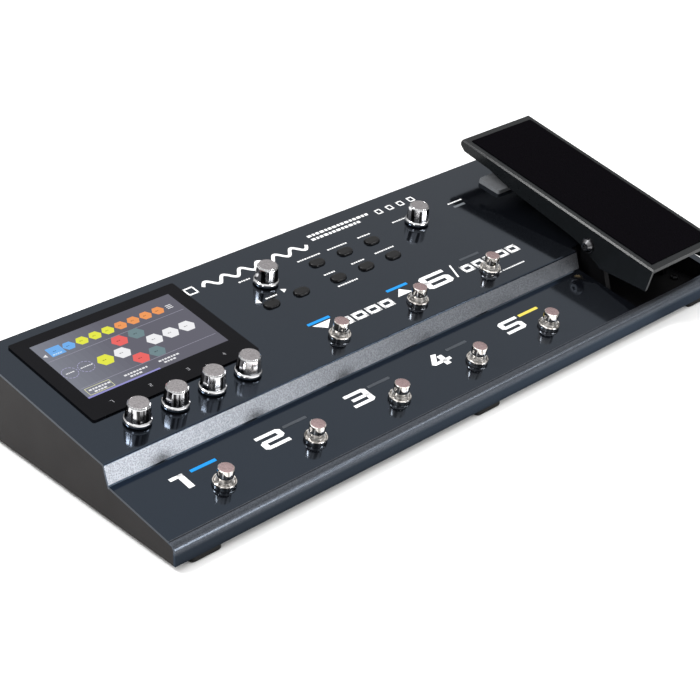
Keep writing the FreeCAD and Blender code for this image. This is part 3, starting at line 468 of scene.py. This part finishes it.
# ------------------------------------------------------------------ tray and rear panel
# The floor tray with its turned-up side walls, and the rear panel: thinner sheet with a
# brownish black powder coat. The side walls stand inside the folded ends of the cover.
def powder_coat(name, colour, roughness=0.5):
    finish = Finish(name, colour, roughness, Specular_IOR_Level=0.10)
    orange_peel = finish.noise(1400.0, 2.0)
    finish.set("Roughness", finish.spread(finish.noise(60.0), roughness - 0.06, roughness + 0.06))
    finish.shade(orange_peel, colour, 0.15)
    finish.bump(orange_peel, 0.35, 0.00008)
    return finish.material


dress(powder_coat("wall_paint", (0.0075, 0.0060, 0.0060), 0.42), "chassis_tray", "rear_panel")


# ------------------------------------------------------------------ rubber feet
# Six feet moulded in black rubber, fixed to the tray under its front and rear edges, each
# with its lower edge eased.
def rubber(name, colour, roughness=0.75):
    finish = Finish(name, colour, roughness, Specular_IOR_Level=0.12)
    finish.set("Roughness", finish.spread(finish.noise(120.0), roughness - 0.08, roughness + 0.05))
    finish.shade(finish.noise(300.0), colour, 0.2)
    finish.bump(finish.noise(2200.0), 0.5, 0.0001)
    return finish.material


foot_rubber = rubber("sole_rubber", (0.006, 0.006, 0.006))
foot_low, foot_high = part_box("rubber_feet")
foot_length, foot_depth = 0.021, 0.015
foot_places = (0.0211, 0.2336, 0.4371)


def geometry_tree(name, **inlets):
    """A geometry tree with named inputs. Returns it with the wires of its inputs."""
    group = bpy.data.node_groups.new(name, "GeometryNodeTree")
    group.interface.new_socket("Geometry", in_out="INPUT", socket_type="NodeSocketGeometry")
    group.interface.new_socket("Geometry", in_out="OUTPUT", socket_type="NodeSocketGeometry")
    for inlet, kind in inlets.items():
        group.interface.new_socket(inlet, in_out="INPUT", socket_type="NodeSocket" + kind)
    tree = Tree(group)
    outlets = tree.node("NodeGroupInput").socket.node.outputs
    return tree, {outlet.name: Wire(tree, outlet) for outlet in outlets if outlet.name}


def close_tree(tree, geometry, material):
    whole = tree.node("GeometryNodeRealizeInstances", None, geometry)
    dressed = tree.node("GeometryNodeSetMaterial", inlets={"Geometry": whole, "Material": material})
    tree.node("NodeGroupOutput", None, dressed)


def grown(name, tree, start, **values):
    """Run a geometry tree on a mesh and return what it makes as a plain mesh."""
    host = add_object(name + "_host", start)
    modifier = host.modifiers.new(name, "NODES")
    modifier.node_group = tree.node_tree
    for item in tree.node_tree.interface.items_tree:
        if item.in_out == "INPUT" and item.name in values:
            modifier[item.identifier] = values[item.name]
    evaluated = host.evaluated_get(bpy.context.evaluated_depsgraph_get())
    mesh = bpy.data.meshes.new_from_object(evaluated)
    bpy.data.objects.remove(host)
    mesh.name = name
    mesh.materials.clear()
    mesh.materials.append(values["Material"])
    return mesh


set_out_tree, wires = geometry_tree("set_out", Pattern="Object", Material="Material")
pattern_info = set_out_tree.node("GeometryNodeObjectInfo", None, wires["Pattern"],
                                 outlet="Geometry")
turn = set_out_tree.node("GeometryNodeInputNamedAttribute", {"data_type": "FLOAT_VECTOR"}, "turn")
close_tree(set_out_tree, set_out_tree.node("GeometryNodeInstanceOnPoints", inlets={
    "Points": wires["Geometry"], "Instance": pattern_info, "Rotation": turn}), wires["Material"])


def set_out(name, pattern_mesh, seats, material):
    """Repeat a pattern at each seat, in one plain mesh."""
    points = bpy.data.meshes.new(name + "_points")
    points.from_pydata([tuple(seat.translation) for seat in seats], [], [])
    turns = points.attributes.new("turn", "FLOAT_VECTOR", "POINT")
    for item, seat in zip(turns.data, seats):
        item.vector = tuple(seat.to_euler())
    pattern = add_object(name + "_pattern", pattern_mesh)
    mesh = grown(name, set_out_tree, points, Pattern=pattern, Material=material)
    bpy.data.objects.remove(pattern)
    return mesh


def smooth(mesh, sharp=30.0):
    mesh.shade_smooth()
    mesh.set_sharp_from_angle(angle=math.radians(sharp))
    return mesh


def rounded_outline(length, width, corner, steps=6):
    """Points round a rectangle with round corners, centred on the origin."""
    outline = []
    for i, (x, y) in enumerate(((1, 1), (-1, 1), (-1, -1), (1, -1))):
        for j in range(steps + 1):
            angle = math.pi / 2 * (i + j / steps)
            outline.append((x * (length / 2 - corner) + corner * math.cos(angle),
                            y * (width / 2 - corner) + corner * math.sin(angle)))
    return outline


def stacked(name, rings):
    """A closed mesh through rings of equal count, given from the bottom to the top."""
    count = len(rings[0])
    corners = [corner for ring in rings for corner in ring]
    faces = [list(range(count)), [len(corners) - count + i for i in range(count)]]
    for level in range(len(rings) - 1):
        for i in range(count):
            j = (i + 1) % count
            faces.append([level * count + i, level * count + j, (level + 1) * count + j,
                          (level + 1) * count + i])
    return closed_mesh(name, corners, faces)


def foot_pattern():
    """One foot: a rounded block with a softened lower edge."""
    height = foot_high.z - foot_low.z
    levels = ((0.0, 0.0012), (0.0004, 0.0005), (0.0011, 0.0), (height, 0.0))
    rings = [[(x, y, z) for x, y in rounded_outline(foot_length - 2 * inset, foot_depth - 2 * inset,
                                                   0.003 - inset)] for z, inset in levels]
    return stacked("foot", rings)


foot_seats = [Matrix.Translation((cover_low.x + place, y, foot_low.z)) for place in foot_places
              for y in (foot_low.y + foot_depth / 2, foot_high.y - foot_depth / 2)]
fit(smooth(set_out("feet", foot_pattern(), foot_seats, foot_rubber), 40.0), [], "root",
    "foot_rubber", "rubber_feet")


# ------------------------------------------------------------------ boards and inner parts
# Green circuit boards, black moulded housings, and zinc plated footswitch bodies and display
# module, held inside the case. The case's screws are steel with a black plating.
def moulding(name, colour, roughness=0.45, gloss=0.5):
    finish = Finish(name, colour, roughness, Specular_IOR_Level=gloss)
    finish.set("Roughness", finish.spread(finish.noise(90.0), roughness - 0.06, roughness + 0.06))
    finish.shade(finish.noise(500.0), colour, 0.15)
    finish.bump(finish.noise(1800.0), 0.4, 0.00006)
    return finish.material


def brushed(name, colour, roughness=0.3):
    finish = Finish(name, colour, roughness, Metallic=1.0)
    grain = finish.noise(300.0, 3.0, (1.0, 1.0, 12.0))
    finish.set("Roughness", finish.spread(grain, roughness - 0.08, roughness + 0.1))
    finish.shade(finish.noise(200.0), colour, 0.08)
    finish.bump(grain, 0.15, 0.00004)
    return finish.material


board_mask = Finish("board_mask", (0.01, 0.09, 0.03), 0.35)
tracks = board_mask.node("ShaderNodeTexBrick", inlets={"Vector": board_mask.place(), "Scale": 60.0})
board_mask.set("Base Color", board_mask.mix(board_mask.spread(tracks, 0.0, 1.0), (0.01, 0.08, 0.03),
                                            (0.015, 0.13, 0.05)))
board_mask.bump(board_mask.noise(800.0), 0.2, 0.0001)
black_moulding = moulding("black_moulding", (0.012, 0.012, 0.013))
zinc_plate = brushed("zinc_plate", (0.5, 0.5, 0.5), 0.35)
dress(board_mask.material, "main_board", "panel_board")
dress(black_moulding, "encoder_housings", "level_pot", "key_switches", "pedal_sensor", "toe_switch",
      "toe_plunger", *["encoder_rotor_%d" % number for number in range(1, 6)])
black_zinc = brushed("black_zinc", (0.03, 0.03, 0.032), 0.35)
dress(zinc_plate, "footswitch_bodies", "display_module")
dress(black_zinc, "case_screws")

# ------------------------------------------------------------------ touch display
# A cover glass with a black printed border, bonded on the deck over the display panel. The
# lit picture in its window is a chain of effect blocks under a row of choices.
glass_left, glass_width, glass_thickness = 0.0164, 0.1155, 0.0011
window_left, window_foot, window_width, window_height = 0.0255, 0.0469, 0.0970, 0.0548
picture_skin = 0.00003
glass_black = (0.003, 0.003, 0.004)
border_glass = Finish("border_glass", glass_black, 0.06, Specular_IOR_Level=0.05)
border_glass.set("Roughness", border_glass.spread(border_glass.noise(25.0), 0.05, 0.09))
border_glass.shade(border_glass.noise(80.0), glass_black, 0.2)
dress(border_glass.material, "touch_glass")

grey_violet, dusk = (0.120, 0.118, 0.148), (0.200, 0.210, 0.250)
lamp_blue, lamp_yellow, lamp_orange = (0.16, 0.42, 0.84), (0.78, 0.80, 0.06), (0.86, 0.32, 0.10)
lamp_red, lamp_teal, lamp_white = (0.82, 0.13, 0.12), (0.16, 0.24, 0.26), (0.86, 0.86, 0.88)
block_radius = 0.0054
choice_radius, choice_pitch = 0.0041, 0.00890


def six_sided(across, up, radius):
    return [(across + radius * math.cos(math.radians(60 * i)),
             up + 0.93 * radius * math.sin(math.radians(60 * i))) for i in range(6)]


def in_window(u, v):
    return window_left + u * window_width, window_foot + v * window_height


def dotted_ring(across, up, radius, dots=14, pen=0.00035):
    ring = []
    for i in range(dots):
        a, b = (2 * math.pi * (i + end) / dots for end in (0.0, 0.5))
        ring.append(stroke([(across + radius * math.cos(a), up + radius * math.sin(a)),
                            (across + radius * math.cos(b), up + radius * math.sin(b))], pen))
    return ring


picture_parts = []                # (outline, colour) from the back to the front
shade_steps = 24
for i in range(shade_steps):
    share = max(0.0, 1 - 2.2 * i / shade_steps)
    tone = tuple(a + (b - a) * share for a, b in zip(grey_violet, dusk))
    picture_parts.append((rectangle(window_left + window_width * i / shade_steps, window_foot,
                                    window_width / shade_steps, window_height), tone))
# a violet strip glowing along the foot of the window's left half: a painted reflection on the glass's
# lower edge
bar_across, bar_up = in_window(0.0, 0.0)
picture_parts.append((rectangle(bar_across, bar_up, window_width * 0.5, 0.0012), (0.30, 0.29, 0.62)))
for v in (0.690, 0.165):
    across, up = in_window(0.01, v)
    picture_parts.append((rectangle(across, up, window_width * 0.97, 0.0003), (0.33, 0.32, 0.40)))
row_across, row_up = in_window(0.106, 0.815)
choice_colours = [lamp_blue, lamp_blue] + [lamp_yellow] * 3 + [lamp_orange] * 4
for i, colour in enumerate(choice_colours):
    across = row_across + i * choice_pitch
    if i:
        picture_parts.append((six_sided(across, row_up, choice_radius), colour))
    else:
        picture_parts.append((rectangle(across - 0.0046, row_up - 0.0040, 0.0092, 0.0080), colour))
        picture_parts += [(outline, (0.6, 0.8, 0.95)) for outline in blocks(
            across - 0.0035, row_up - 0.0030, 0.0060, 0.0009)]
    picture_parts += [(outline, tuple(c * 0.45 for c in colour)) for outline in blocks(
        across - 0.0017, row_up - 0.0003, 0.0022, 0.0007)]
across, up = in_window(0.923, 0.809)
for i in range(3):
    picture_parts.append((rectangle(across - 0.002, up - 0.0016 + i * 0.0014, 0.004, 0.0006),
                          lamp_white))
across, up = in_window(0.025, 0.79)
picture_parts.append(([(across - 0.0013, up), (across + 0.0011, up - 0.0014),
                       (across + 0.0011, up + 0.0014)], lamp_white))
chain = ((0.291, 0.422, lamp_yellow), (0.411, 0.425, lamp_white), (0.468, 0.607, lamp_red),
         (0.592, 0.615, lamp_teal), (0.471, 0.253, lamp_red), (0.587, 0.254, lamp_teal),
         (0.647, 0.434, lamp_white), (0.765, 0.434, lamp_white), (0.886, 0.434, lamp_white))
for u, v, colour in chain:
    across, up = in_window(u, v)
    picture_parts.append((six_sided(across, up, block_radius), colour))
    picture_parts += [(outline, tuple(c * 0.45 for c in colour)) for outline in blocks(
        across - 0.0019, up - 0.0003, 0.0024, 0.0008)]
for u, length in ((0.052, 0.0050), (0.162, 0.0070)):
    across, up = in_window(u, 0.437)
    picture_parts += [(outline, (0.42, 0.40, 0.62)) for outline in dotted_ring(across, up, 0.0047)]
    picture_parts += [(outline, lamp_white) for outline in blocks(
        across - length / 2, up - 0.0003, length, 0.0008)]
for u, length in ((0.110, 0.0130), (0.363, 0.0150), (0.598, 0.0130)):
    across, up = in_window(u, 0.085)
    picture_parts += [(outline, lamp_white) for outline in blocks(
        across - length / 2, up + 0.0004, length, 0.0012)]
    picture_parts += [(outline, lamp_white) for outline in blocks(
        across - length / 3, up - 0.0019, length / 2, 0.0012)]
across, up = in_window(0.110, 0.085)
picture_parts += [(outline, (0.75, 0.75, 0.45)) for outline in square_ring(
    across - 0.0082, up - 0.0029, 0.0164, 0.0062, 0.0003)]


def tinted_film(name, parts, low, layer):
    """A film whose slabs carry their colours, later slabs a little over earlier ones."""
    corners, faces, tints = [], [], []
    for order, (outline, tint) in enumerate(parts):
        add_slab(corners, faces, outline, low, low + layer * (1 + order / len(parts)))
        tints += [tint] * (len(outline) + 2)
    mesh = closed_mesh(name, corners, faces, join=False)
    tint_layer = mesh.color_attributes.new(name="tint", type="FLOAT_COLOR", domain="CORNER")
    for polygon, tint in zip(mesh.polygons, tints):
        for corner in polygon.loop_indices:
            tint_layer.data[corner].color = (*tint, 1.0)
    return mesh


lit_picture = Finish("lit_picture", glass_black, 0.08, Specular_IOR_Level=0.05,
                     Emission_Strength=1.0)
lit_picture.set("Emission Color", lit_picture.node("ShaderNodeAttribute",
                                                   {"attribute_name": "tint"}))
lit_picture.set("Roughness", lit_picture.spread(lit_picture.noise(25.0), 0.06, 0.1))
fit(tinted_film("lit_picture", picture_parts, glass_thickness - picture_skin, 2 * picture_skin),
    [lit_picture.material], "root", "screen_glass", place=upper_deck.seat())

border_marks = []
for i, mark in enumerate("1234"):
    border_marks += figure(mark, left=0.0335 + i * 0.0260, foot=0.0371, width=0.0016,
                           height=0.0024, pen=0.0004, stretch=1.1)
ink_grey = (0.16, 0.16, 0.17)
grey_ink = Finish("grey_ink", ink_grey, 0.5)
grey_ink.shade(grey_ink.noise(1200.0), ink_grey, 0.1)
fit(film("border_figures", border_marks, glass_thickness - picture_skin,
         glass_thickness + picture_skin), [grey_ink.material], "root", "screen_glass",
    place=upper_deck.seat())


# ------------------------------------------------------------------ footswitches
# Turned caps on plungers, each over a dished dress nut on a washer. Caps and nuts are nickel
# plated, and the caps' tops are lapped dull.
def turned(name, outline, facets=0, dull_from=None, segments=72):
    """A solid of revolution from (radius, height) points in metres, bottom to top. A third
    value marks a ring with flats. Bands above dull_from take the second material."""
    rings = []
    for radius, height, *flat in outline:
        ring = []
        for i in range(segments):
            angle = 2 * math.pi * i / segments
            reach = radius
            if flat:
                half = math.pi / facets
                reach = radius * math.cos(half) / math.cos(angle % (2 * half) - half)
            ring.append((reach * math.cos(angle), reach * math.sin(angle), height))
        rings.append(ring)
    mesh = stacked(name, rings)
    spin = mesh.attributes.new("reach", "FLOAT", "POINT")
    for item, vertex in zip(spin.data, mesh.vertices):
        item.value = math.hypot(vertex.co.x, vertex.co.y) * 1000
    if dull_from is not None:
        for polygon in mesh.polygons:
            if min(mesh.vertices[v].co.z for v in polygon.vertices) > dull_from:
                polygon.material_index = 1
    return mesh


def plated(name, colour, roughness, reflection_swing=0.06):
    """Bright plate with a faint haze, and painted reflections: upright streaks darker and lighter by a
    share.
    """
    finish = Finish(name, colour, roughness, Metallic=1.0)
    finish.set("Roughness", finish.spread(finish.noise(500.0, 3.0), roughness * 0.7, roughness * 1.5))
    # upright streaks painted into the colour: painted reflections of the surroundings in the plate
    painted_reflections = finish.noise(420.0, 1.0, (1.0, 1.0, 0.02))
    finish.shade(finish.spread(painted_reflections, 0.0, 1.0, 0.42, 0.58), colour, reflection_swing)
    finish.bump(finish.noise(1500.0), 0.05, 0.00003)
    return finish.material


def spun(name, colour, roughness):
    """A dull turned face: fine grooves, and a painted sheen of broad rings round its middle, lighter
    and darker, with random mottling.
    """
    finish = Finish(name, colour, roughness, Metallic=1.0)
    reach = finish.node("ShaderNodeAttribute", {"attribute_name": "reach"}, outlet="Fac")
    groove_rate, band_rate = 34.0, 5.5       # radians of wave for each millimetre of reach
    grooves = (reach * groove_rate).maths("SINE")
    finish.set("Roughness", finish.spread(finish.noise(600.0, 3.0), roughness - 0.05,
                                          roughness + 0.08))
    # rings painted lighter and darker round the middle, with random mottling: a painted sheen of the
    # spun face
    painted_sheen = (reach * band_rate).maths("SINE") * 0.35 + finish.noise(900.0, 3.0)
    finish.shade(painted_sheen, colour, 0.45)
    finish.bump(grooves, 0.35, 0.00003)
    return finish.material


lower_switch_up, upper_switch_up = -0.0309, 0.0157
switch_seats = [lower_deck.seat(across, lower_switch_up) for across in columns]
switch_seats += [upper_deck.seat(across, upper_switch_up) for across in columns[2:]]
cap_radius, cap_under, cap_top, plunger_radius, plunger_end = 0.00465, 0.0057, 0.0110, 0.0035, -0.0045
cap_outline = [(plunger_radius, plunger_end), (plunger_radius, cap_under),
               (cap_radius - 0.0003, cap_under), (cap_radius, cap_under + 0.0003),
               (cap_radius, cap_top - 0.0005), (cap_radius - 0.00015, cap_top - 0.0002),
               (cap_radius - 0.0005, cap_top), (cap_radius - 0.0006, cap_top + 0.00001),
               (0.0020, cap_top + 0.00003), (0.0002, cap_top + 0.00003)]
# the nickel's upright streaks are painted reflections down the caps' sides and the nuts
nickel_plate = plated("bright_nickel", (0.54, 0.51, 0.48), 0.08, 0.55)
# the rings on the lapped tops are a painted sheen
lapped_nickel = spun("lapped_nickel", (0.29, 0.21, 0.21), 0.26)
for number, seat in enumerate(switch_seats, start=1):
    node = "footswitch_cap_%d" % number
    cap = smooth(turned("cap_%d" % number, cap_outline, dull_from=cap_top - 0.00001))
    fit(cap, [nickel_plate, lapped_nickel], node, "nickel_plate", node, place=seat)

nut_bore, nut_radius, nut_top, washer_radius, washer_top = 0.0049, 0.0067, 0.0028, 0.0063, 0.0008


def wheel(name, sections):
    """A closed ring through like sections that stand round the z axis."""
    corners = [corner for section in sections for corner in section]
    count, faces = len(sections[0]), []
    for i in range(len(sections)):
        here, there = i * count, (i + 1) % len(sections) * count
        faces += [[here + j, there + j, there + (j + 1) % count, here + (j + 1) % count]
                  for j in range(count)]
    return closed_mesh(name, corners, faces)


def dress_nut():
    """The nut and its washer in one turned ring."""
    section = [(nut_bore, 0), (washer_radius, 0), (washer_radius, washer_top),
               (nut_radius - 0.0001, washer_top + 0.0001), (nut_radius, washer_top + 0.0004),
               (nut_radius, nut_top - 0.0006), (nut_radius - 0.00015, nut_top - 0.0002),
               (nut_radius - 0.0005, nut_top), (nut_radius - 0.0009, nut_top - 0.0002),
               (nut_bore + 0.0005, nut_top - 0.0009), (nut_bore, nut_top - 0.0009)]
    segments = 64
    angles = [2 * math.pi * i / segments for i in range(segments)]
    return wheel("dress_nut", [[(r * math.cos(angle), r * math.sin(angle), z) for r, z in section]
                               for angle in angles])


fit(smooth(set_out("dress_nuts", dress_nut(), switch_seats, nickel_plate)), [], "root",
    "nickel_plate", "footswitch_nuts")

# ------------------------------------------------------------------ knobs
# Dark chrome knobs: a tapered body with twelve flats, a bright bevel under the spun top and
# a flared foot. Four stand in front of the display, one selects and one sets the level.
knob_outline = [(0.0029, -0.0060), (0.0029, 0.0009), (0.0074, 0.0009), (0.0078, 0.0011),
                (0.0079, 0.0015), (0.0079, 0.0024), (0.0077, 0.0029), (0.0072, 0.0033),
                (0.0070, 0.0035), (0.0074, 0.0037, 1), (0.0073, 0.0042, 1), (0.00655, 0.0118, 1),
                (0.0064, 0.0122, 1), (0.0059, 0.0128, 1), (0.00565, 0.0130), (0.0055, 0.01303),
                (0.0054, 0.01292), (0.0030, 0.01293), (0.0002, 0.01293)]
knob_flats, knob_segments, knob_crown = 12, 96, 0.0129    # spun bands lie above the crown
knob_waist, knob_brow = 0.0036, 0.0119                   # bright plate below and above these
screen_knob_pitch, screen_knob_up, rear_knob_up = 0.0256, 0.0181, 0.0808
knob_row_middle = glass_left + glass_width / 2
knob_seats = {"screen_knob_%d" % (i + 1): upper_deck.seat(
    knob_row_middle + (i - 1.5) * screen_knob_pitch, screen_knob_up) for i in range(4)}
knob_seats["select_knob"] = upper_deck.seat(columns[2], rear_knob_up)
knob_seats["level_knob"] = upper_deck.seat(columns[4], rear_knob_up)
# the dark chrome's upright streaks run from near black to near white: painted reflections in the knobs'
# flats
dark_chrome = plated("dark_chrome", (0.36, 0.36, 0.37), 0.10, 0.93)
bright_chrome = plated("bright_chrome", (0.62, 0.62, 0.63), 0.08)
# the rings on the spun tops are a painted sheen
spun_top = spun("spun_top", (0.27, 0.255, 0.26), 0.24)
for node, seat in knob_seats.items():
    knob = smooth(turned(node + "_shell", knob_outline, knob_flats, knob_crown, knob_segments), 16.0)
    for polygon in knob.polygons:
        height = polygon.center.z
        if not polygon.material_index and (height < knob_waist or height > knob_brow):
            polygon.material_index = 2
    fit(knob, [dark_chrome, spun_top, bright_chrome], node, "knob_chrome", node, place=seat)

# ------------------------------------------------------------------ push buttons
# Eight caps moulded in satin black plastic, with round ends and domed tops. Each stands in a
# slot in the upper deck, over its key switch.
button_length, button_width, button_top, button_foot = 0.011, 0.007, 0.0017, -0.0012
button_columns, page_button_up = (0.2215, 0.2451, 0.2685), 0.0615
button_spots = {"%s_%d" % (row, i + 1): (place, up)
                for row, up in (("upper_button", 0.0800), ("lower_button", 0.0606))
                for i, place in enumerate(button_columns)}
button_spots["page_button_left"] = (0.1683, page_button_up)
button_spots["page_button_right"] = (0.1920, page_button_up)
button_dome = [(button_foot, 0.0), (0.0008, 0.0), (0.0011, 0.0001), (0.0014, 0.00045),
               (0.00158, 0.0010), (0.00168, 0.0018), (button_top, 0.0026)]
button_black = moulding("button_black", (0.003, 0.003, 0.0035), 0.30, 0.2)
for node, (place, up) in button_spots.items():
    rings = [[(x, y, z) for x, y in rounded_outline(
        button_length - 2 * inset, button_width - 2 * inset, button_width / 2 - inset, 8)]
        for z, inset in button_dome]
    cap = smooth(stacked(node + "_cap", rings), 60.0)
    fit(cap, [button_black], node, "button_plastic", node, place=upper_deck.seat(place, up))

# ------------------------------------------------------------------ light bars
# Faintly frosted light guides that fill their slots in the decks. The two for the banks and
# the first glow blue, the fifth glows yellow and the others are off.
bar_length, bar_width, bar_rise, bar_foot = 0.0175, 0.0022, 0.00015, -0.0030
pedal_bar_length = 0.0105
lower_bar_up, upper_bar_up = -0.0136, 0.0338
lower_bars = [lower_deck.seat(across, lower_bar_up) for across in columns]
upper_bars = [upper_deck.seat(across, upper_bar_up) for across in columns[2:]]
pedal_bar = upper_deck.seat(0.3502, 0.0809)


def bar_pattern(length):
    rings = [[(x, y, z) for x, y in rounded_outline(length - 2 * inset - 0.0002,
                                                   bar_width - 2 * inset - 0.0002, 0.0003, 3)]
             for z, inset in ((bar_foot, 0.0), (bar_rise - 0.0001, 0.0), (bar_rise, 0.0001))]
    return stacked("light_bar", rings)


def light(name, colour, glow, strength):
    finish = Finish(name, colour, 0.3, Specular_IOR_Level=0.2, Emission_Strength=strength)
    along = finish.noise(120.0)
    finish.shade(along, colour, 0.1)
    finish.set("Roughness", finish.spread(along, 0.25, 0.35))
    finish.set("Emission Color", finish.mix(along, tuple(c * 0.85 for c in glow), glow))
    return finish.material


for name, seats, length, material in (
        ("blue_bars", [lower_bars[0], upper_bars[0], upper_bars[1]], bar_length,
         light("blue_light", (0.002, 0.02, 0.08), (0.0, 0.40, 1.0), 0.95)),
        ("yellow_bar", [lower_bars[4]], bar_length,
         light("yellow_light", (0.08, 0.07, 0.01), (1.0, 0.80, 0.12), 1.0)),
        ("unlit_bars", lower_bars[1:4] + [upper_bars[2]], bar_length,
         light("unlit_light", (0.040, 0.046, 0.055), (0.0, 0.0, 0.0), 0.0)),
        ("pedal_bar", [pedal_bar], pedal_bar_length,
         light("unlit_pedal_light", (0.10, 0.11, 0.12), (0.0, 0.0, 0.0), 0.0))):
    fit(smooth(set_out(name, bar_pattern(length), seats, material)), [], "root", "light_guide",
        "light_bars")

# ------------------------------------------------------------------ expression pedal
# A cast treadle in dark paint on a steel shaft with black socket bolts, over a sunk matt
# black well. A gritty grip sheet is bonded in its top and a rubber stop lies under its toe.
shaft_low, shaft_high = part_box("pivot_shaft")
pivot = Vector((0, (shaft_low.y + shaft_high.y) / 2, (shaft_low.z + shaft_high.z) / 2))
treadle_pitch = math.radians(11.65)
treadle_left, treadle_width, treadle_length = 0.3804, 0.0686, 0.1685
pivot_along, pivot_drop, mat_inset, mat_proud, mat_recess = 0.0504, 0.0125, 0.00475, 0.0006, 0.0008
mat_grit, mat_columns, mat_rows = 0.00035, 110, 292
treadle_middle = Vector((cover_low.x + treadle_left + treadle_width / 2, 0, 0))
treadle_seat = (Matrix.Translation(pivot + treadle_middle)
                @ Matrix.Rotation(treadle_pitch, 4, "X")
                @ Matrix.Translation((0, treadle_length / 2 - pivot_along, pivot_drop)))

casting_colour = (0.0062, 0.0072, 0.0080)
casting_paint = Finish("casting_paint", casting_colour, 0.2, Specular_IOR_Level=0.17)
casting_paint.set("Roughness", casting_paint.spread(casting_paint.noise(60.0), 0.17, 0.24))
casting_paint.shade(casting_paint.noise(500.0), casting_colour, 0.15)
casting_paint.bump(casting_paint.noise(1200.0), 0.15, 0.00005)
dress(casting_paint.material, "treadle")
dress(powder_coat("well_paint", (0.002, 0.002, 0.0025), 0.6), "pedal_well")
dress(rubber("pad_rubber", (0.165, 0.172, 0.182)), "toe_pad")
dress(brushed("black_oxide", (0.14, 0.14, 0.145), 0.22), "pivot_bolts", "pivot_washers")
dress(brushed("ground_steel", (0.45, 0.45, 0.46), 0.22), "pivot_shaft")
dress(brushed("sintered_bronze", (0.55, 0.38, 0.18), 0.35), "pivot_bushes")

grip_tree, wires = geometry_tree("grip_sheet", Size="Vector", Grit="Float", Material="Material")
sheet = grip_tree.node("GeometryNodeMeshCube", inlets={
    "Size": wires["Size"], "Vertices X": mat_columns, "Vertices Y": mat_rows, "Vertices Z": 2})
at = grip_tree.node("GeometryNodeInputPosition")
height = grip_tree.node("ShaderNodeSeparateXYZ", None, at, outlet="Z")
grains = grip_tree.node("ShaderNodeTexNoise", {"noise_dimensions": "4D"}, inlets={
    "Vector": at, "W": 3.0, "Scale": 1100.0, "Detail": 1.0})
push = grip_tree.node("ShaderNodeCombineXYZ", inlets={"Z": (grains - 0.5) * wires["Grit"] * 2.0})
close_tree(grip_tree, grip_tree.node("GeometryNodeSetPosition", inlets={
    "Geometry": sheet, "Selection": height > 0.0, "Offset": push}), wires["Material"])

grip_colour = (0.0012, 0.0009, 0.0016)
grip_rubber = Finish("grip_rubber", grip_colour, 0.8, Specular_IOR_Level=0.02)
grip_specks = grip_rubber.cells(1300.0)
grip_rubber.shade(grip_specks, grip_colour, 0.7)
grip_rubber.set("Roughness", grip_rubber.spread(grip_specks, 0.55, 0.9, 0.0, 0.7))
grip_rubber.bump(grip_specks, 0.8, 0.0002)
empty_start = bpy.data.meshes.new("grip_start")
grip = grown("grip_sheet", grip_tree, empty_start, Grit=mat_grit, Material=grip_rubber.material,
             Size=(treadle_width - 2 * mat_inset, treadle_length - 2 * mat_inset,
                   mat_proud + mat_recess))
lift = Matrix.Translation((0, 0, (mat_proud - mat_recess) / 2))
fit(grip, [], "pedal", "grip_mat", "treadle_mat", place=treadle_seat @ lift)

# ------------------------------------------------------------------ rear sockets
# Eight phone jacks with hexagon nuts on washers, two small data jacks, a computer port, the
# adaptor inlet and the rocker power switch, all through the rear panel.
jack_places = (0.435, 0.395, 0.370, 0.330, 0.305, 0.275, 0.240, 0.215)
jack_low, jack_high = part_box("jack_bodies")
jack_level = (jack_low.z + jack_high.z) / 2
dress(black_moulding, "jack_bodies", "mini_jacks", "power_inlet", "rocker_frame")
dress(moulding("rocker_black", (0.008, 0.008, 0.008), 0.25), "rocker")
dress(zinc_plate, "usb_socket")


def hexagon_nut():
    """A hexagon nut with turned corners on a thin washer, standing on z = 0."""
    bore, flats, top, washer, thin, corner_radius = 0.00478, 0.0127, 0.0024, 0.0068, 0.0005, 0.0070
    segments = 72
    section = [(bore, 0, 0), (washer, 0, 0), (washer, thin, 0), (flats / 2, thin, 1),
               (flats / 2, top - 0.0004, 1), (flats / 2 - 0.0004, top, 0), (bore, top, 0)]
    sections = []
    for i in range(segments):
        angle = 2 * math.pi * i / segments
        to_flat = math.cos((angle % (math.pi / 3)) - math.pi / 6)
        reaches = [min(radius / to_flat, corner_radius) if flat else radius
                   for radius, height, flat in section]
        sections.append([(reach * math.cos(angle), reach * math.sin(angle), height)
                         for reach, (radius, height, flat) in zip(reaches, section)])
    return wheel("hexagon_nut", sections)


nut_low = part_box("jack_nuts")[0]
jack_seats = [Matrix.Translation((cover_low.x + place, nut_low.y, jack_level))
              @ Matrix.Rotation(-math.pi / 2, 4, "X") for place in jack_places]
fit(smooth(set_out("jack_nut_set", hexagon_nut(), jack_seats, nickel_plate)), [], "root",
    "nickel_plate", "jack_nuts")
